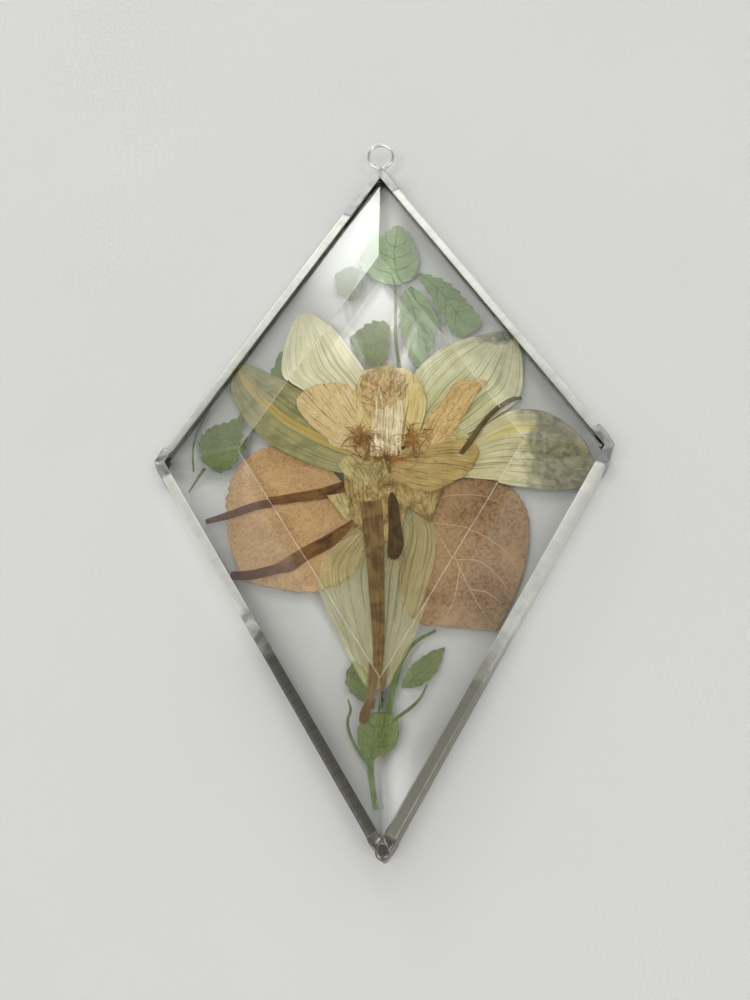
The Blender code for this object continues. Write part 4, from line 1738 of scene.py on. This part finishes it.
    def green_leaves(self) -> None:
        """The leaves of the four sprigs."""
        pale, deep = Tissue.GREEN_PALE, Tissue.GREEN_DEEP
        self.green_leaf(
            "top_sprig_tip_leaf",
            [(2.4, 35.4), (-1.0, 37.4), (-2.8, 41.0), (-1.6, 44.8), (0.4, 48.0), (2.7, 50.2)],
            [(2.9, 35.3), (4.6, 36.6), (6.0, 40.4), (5.6, 44.6), (4.4, 48.0), (2.7, 50.2)],
            Tissue.GREEN_LIGHT, 9, 0.5,
        )
        self.green_leaf(
            "top_sprig_left_leaf",
            [(-3.3, 36.0), (-5.0, 33.0), (-7.2, 34.6), (-7.9, 38.8)],
            [(-3.2, 36.6), (-3.3, 38.8), (-5.2, 40.0), (-7.9, 38.8)],
            deep, 5, 0.4,
        )
        self.green_leaf(
            "top_sprig_right_leaf",
            [(6.2, 37.8), (8.2, 33.2), (10.0, 28.6), (12.8, 23.2), (16.9, 25.4)],
            [(6.8, 38.0), (11.6, 35.8), (15.0, 31.2), (17.2, 27.4), (16.9, 25.4)],
            pale, 8, 0.5,
        )
        self.green_leaf(
            "top_sprig_middle_leaf",
            [(4.4, 34.6), (3.5, 29.0), (4.4, 22.4), (6.4, 17.2)],
            [(4.8, 34.6), (8.0, 30.4), (9.4, 25.4), (8.4, 20.6), (6.4, 17.2)],
            pale, 8, 0.4,
        )
        self.green_leaf(
            "top_sprig_lower_leaf",
            [(1.8, 24.4), (0.9, 20.0), (-0.8, 18.0), (-3.8, 20.4), (-5.6, 24.0)],
            [(1.9, 25.0), (0.8, 27.2), (-2.2, 27.0), (-5.6, 24.0)],
            deep, 6, 0.4,
        )
        self.green_leaf(
            "side_sprig_leaf",
            [(-15.0, 14.2), (-17.6, 14.4), (-18.4, 18.0), (-17.0, 22.0), (-15.2, 25.4)],
            [(-14.4, 14.4), (-14.0, 18.0), (-14.2, 22.0), (-15.2, 25.4)],
            deep, 4, 0.5,
        )
        self.green_leaf(
            "left_sprig_leaf",
            [(-30.2, 1.2), (-30.9, 4.4), (-29.0, 7.0), (-26.0, 7.6), (-23.1, 9.0)],
            [(-29.6, 0.6), (-27.0, -1.0), (-24.2, 0.6), (-23.3, 4.0), (-23.1, 9.0)],
            deep, 8, 0.45,
        )
        self.green_leaf(
            "lower_sprig_bract",
            [(-1.6, -49.8), (-2.9, -47.8), (-3.2, -45.4), (-2.2, -43.2), (-0.2, -42.6)],
            [(-1.1, -49.8), (0.9, -48.0), (1.8, -45.6), (1.5, -43.6), (-0.2, -42.6)],
            deep, 5, 0.12,
        )
        self.green_leaf(
            "lower_sprig_left_leaf",
            [(-0.7, -42.2), (-2.4, -40.9), (-4.3, -39.2), (-4.9, -37.0), (-3.6, -34.6)],
            [(-0.6, -42.0), (-0.8, -39.4), (-1.8, -36.6), (-3.6, -34.6)],
            deep, 6, 0.2,
        )
        self.green_leaf(
            "lower_sprig_right_leaf",
            [(2.2, -38.9), (3.6, -36.0), (6.4, -33.9), (9.0, -32.9)],
            [(2.4, -39.1), (5.3, -38.5), (7.6, -36.5), (9.0, -32.9)],
            deep, 6, 0.15,
        )

    def green_stems(self) -> None:
        """The thin green stems and tendrils."""
        routes = {
            "top_sprig_stem": (
                [(2.7, 35.6), (2.7, 30.0), (2.6, 24.0), (3.4, 16.0)], [0.5, 0.5, 0.6, 0.7]
            ),
            "left_sprig_stem": ([(-29.6, -0.3), (-31.0, -2.4), (-32.3, -4.6)], [0.6, 0.5, 0.3]),
            "left_sprig_tendril": (
                [(-29.8, 11.0), (-31.2, 8.0), (-32.0, 4.0), (-31.6, -0.8)], [0.2, 0.4, 0.4, 0.3]
            ),
            "lower_sprig_stem": (
                [(-0.7, -56.6), (-1.1, -54.0), (-1.4, -51.0), (-1.4, -49.4)], [0.9, 0.9, 1.0, 1.3]
            ),
            "lower_sprig_branch": (
                [(0.3, -43.0), (0.9, -39.6), (2.2, -35.2), (4.2, -32.2), (7.6, -30.2)],
                [1.0, 0.9, 0.8, 0.6, 0.4],
            ),
            "lower_sprig_left_tendril": (
                [(-1.6, -50.4), (-3.0, -48.6), (-4.3, -46.2), (-4.8, -44.0), (-4.3, -42.2), (-4.7, -40.6)],
                [0.6, 0.5, 0.5, 0.5, 0.4, 0.2],
            ),
            "lower_sprig_right_tendril": (
                [(1.0, -44.0), (2.4, -43.0), (3.8, -42.0), (5.2, -40.6), (6.2, -38.6)],
                [0.4, 0.5, 0.5, 0.4, 0.2],
            ),
        }
        for name, (route, widths) in routes.items():
            Stalk(name, route, widths, LEAF_Z + 0.07, Tissue.GREEN_STEM, "green_leaf", arch=0.04).build()

    def build(self) -> None:
        """Make the leaves, stalks and sprigs."""
        self.brown_leaves()
        self.stalks()
        self.green_leaves()
        self.green_stems()


@dataclass(frozen=True)
class SkyPatch:
    """A round patch of the surround, with a soft rim.

    The rim and the core are cosines of the angle from its axis. The level is the light that it
    adds, or for a shade the share that it takes away.
    """

    axis: Tuple[float, float, float]
    rim: float
    core: float
    level: float

    def weight(self, graph: Graph, direction: bpy.types.NodeSocket) -> Value:
        """Read the patch in one direction.

        Args:
            graph: the world's nodes.
            direction: the direction from the object.

        Returns:
            A value from 0 outside the rim to the patch's level in the core.
        """
        unit = tuple(Vector(self.axis).normalized())
        settings = {"operation": "DOT_PRODUCT"}
        dot = graph.node("ShaderNodeVectorMath", settings, {0: direction, 1: unit})
        return Value(graph, dot.outputs["Value"]).between(self.rim, self.core) * self.level


@dataclass
class Studio:
    """The plain table, the soft light and the camera."""

    camera_at: Tuple[float, float, float] = (10.3, -82.5, 146.7)
    camera_to: Tuple[float, float, float] = (-1.0, -11.8, 5.0)
    lens: float = 35.15
    sensor: float = 36.0
    table_half: float = 900.0
    table_gap: float = 0.05
    key_at: Tuple[float, float, float] = (-550.0, 160.0, 360.0)
    key_size: float = 500.0
    key_watts: float = 0.3
    exposure: float = 1.17
    left_shade: SkyPatch = SkyPatch((-0.69, 0.175, 0.7), 0.9, 0.96, 0.85)
    right_shade: SkyPatch = SkyPatch((0.61, 0.0, 0.79), 0.91, 0.96, 0.85)
    low_light: SkyPatch = SkyPatch((-0.36, 0.875, 0.32), 0.991, 0.9993, 8.0)
    folded_light: SkyPatch = SkyPatch((-0.03, 0.665, 0.745), 0.986, 0.998, 2.0)
    near_light: SkyPatch = SkyPatch((-0.33, -0.33, 0.885), 0.935, 0.965, 3.0)
    right_light: SkyPatch = SkyPatch((0.47, -0.31, 0.83), 0.979, 0.989, 4.5)

    def table(self) -> None:
        """A large plain pale surface under the back lips."""
        bm = bmesh.new()
        bmesh.ops.create_grid(bm, x_segments=1, y_segments=1, size=self.table_half * MM)
        mesh = bpy.data.meshes.new("table")
        bm.to_mesh(mesh)
        bm.free()
        mesh.materials.append(TableFinish("table_pale", tint(212, 211, 210)).material())
        item = bpy.data.objects.new("table", mesh)
        item.location.z = -self.table_gap * MM
        bpy.context.scene.collection.objects.link(item)

    def camera(self) -> None:
        """The photograph's viewpoint."""
        data = bpy.data.cameras.new("camera")
        data.lens = self.lens
        data.sensor_width = self.sensor
        data.clip_start = 0.005
        item = bpy.data.objects.new("camera", data)
        place = Vector(self.camera_at) * MM
        look = (Vector(self.camera_to) * MM - place).normalized()
        right = look.cross(Vector((0, 1, 0))).normalized()
        item.location = place
        axes = Matrix((right, right.cross(look), -look)).transposed()
        item.rotation_euler = axes.to_euler()
        bpy.context.scene.collection.objects.link(item)
        bpy.context.scene.camera = item

    def key_light(self) -> None:
        """One large soft light from the left."""
        data = bpy.data.lights.new("key", "AREA")
        data.size = self.key_size * MM
        data.energy = self.key_watts
        item = bpy.data.objects.new("key", data)
        item.location = Vector(self.key_at) * MM
        aim = -Vector(item.location)
        item.rotation_euler = aim.to_track_quat("-Z", "Y").to_euler()
        bpy.context.scene.collection.objects.link(item)

    def room_light(self) -> None:
        """A pale surround that is dim overhead and at both sides, with four bright patches."""
        world = bpy.data.worlds.new("surround")
        world.use_nodes = True
        bpy.context.scene.world = world
        graph = Graph(world.node_tree)
        direction = graph.node("ShaderNodeTexCoord").outputs["Generated"]
        split = graph.node("ShaderNodeSeparateXYZ", None, {0: direction})
        aside, ahead, above = [Value(graph, socket) for socket in split.outputs]
        off_middle = ((aside + 0.06) * (aside + 0.06)) ** 0.5
        dark = (1.0 - off_middle.between(0.15, 0.25)) * (1.0 - ahead.between(0.56, 0.64))
        dark = dark * ahead.between(-0.3, -0.15) * above.between(0.2, 0.4)
        bright = 1.0 - dark
        left = self.left_shade.weight(graph, direction)
        right = self.right_shade.weight(graph, direction)
        beyond = ahead.between(0.42, 0.6)
        folds = graph.noise(graph.scaled(direction, (14.0, 5.0, 5.0)), 1.0, 3.0, 2.5).between(0.5, 0.66)
        level = bright * (beyond * 0.3 + 0.55) * (1.0 - left) * (1.0 - right) + 0.06
        level = level * self.exposure + self.low_light.weight(graph, direction)
        level = level + self.folded_light.weight(graph, direction) * (folds * 2.0 + 1.0)
        level = level + self.near_light.weight(graph, direction)
        level = level + self.right_light.weight(graph, direction)
        colour = graph.mix((1.0, 0.98, 0.95), (0.98, 0.99, 0.98), bright)
        shader = graph.node("ShaderNodeBackground", None, {"Color": colour, "Strength": level})
        out = graph.node("ShaderNodeOutputWorld")
        graph.tree.links.new(shader.outputs[0], out.inputs["Surface"])

    def build(self) -> None:
        """Set the studio up."""
        self.table()
        self.camera()
        self.key_light()
        self.room_light()
        bpy.context.scene.view_settings.view_transform = "Standard"
        bpy.context.scene.cycles.blur_glossy = 0.0


def main() -> None:
    """Build the studio and every piece in order."""
    logging.basicConfig(level=logging.INFO, format="%(name)s %(message)s")
    for part in (Studio(), Panes(), MetalFrame(), Daffodil(), Foliage()):
        LOG.info("building %s", type(part).__name__)
        part.build()


if __name__ == "__main__":
    main()
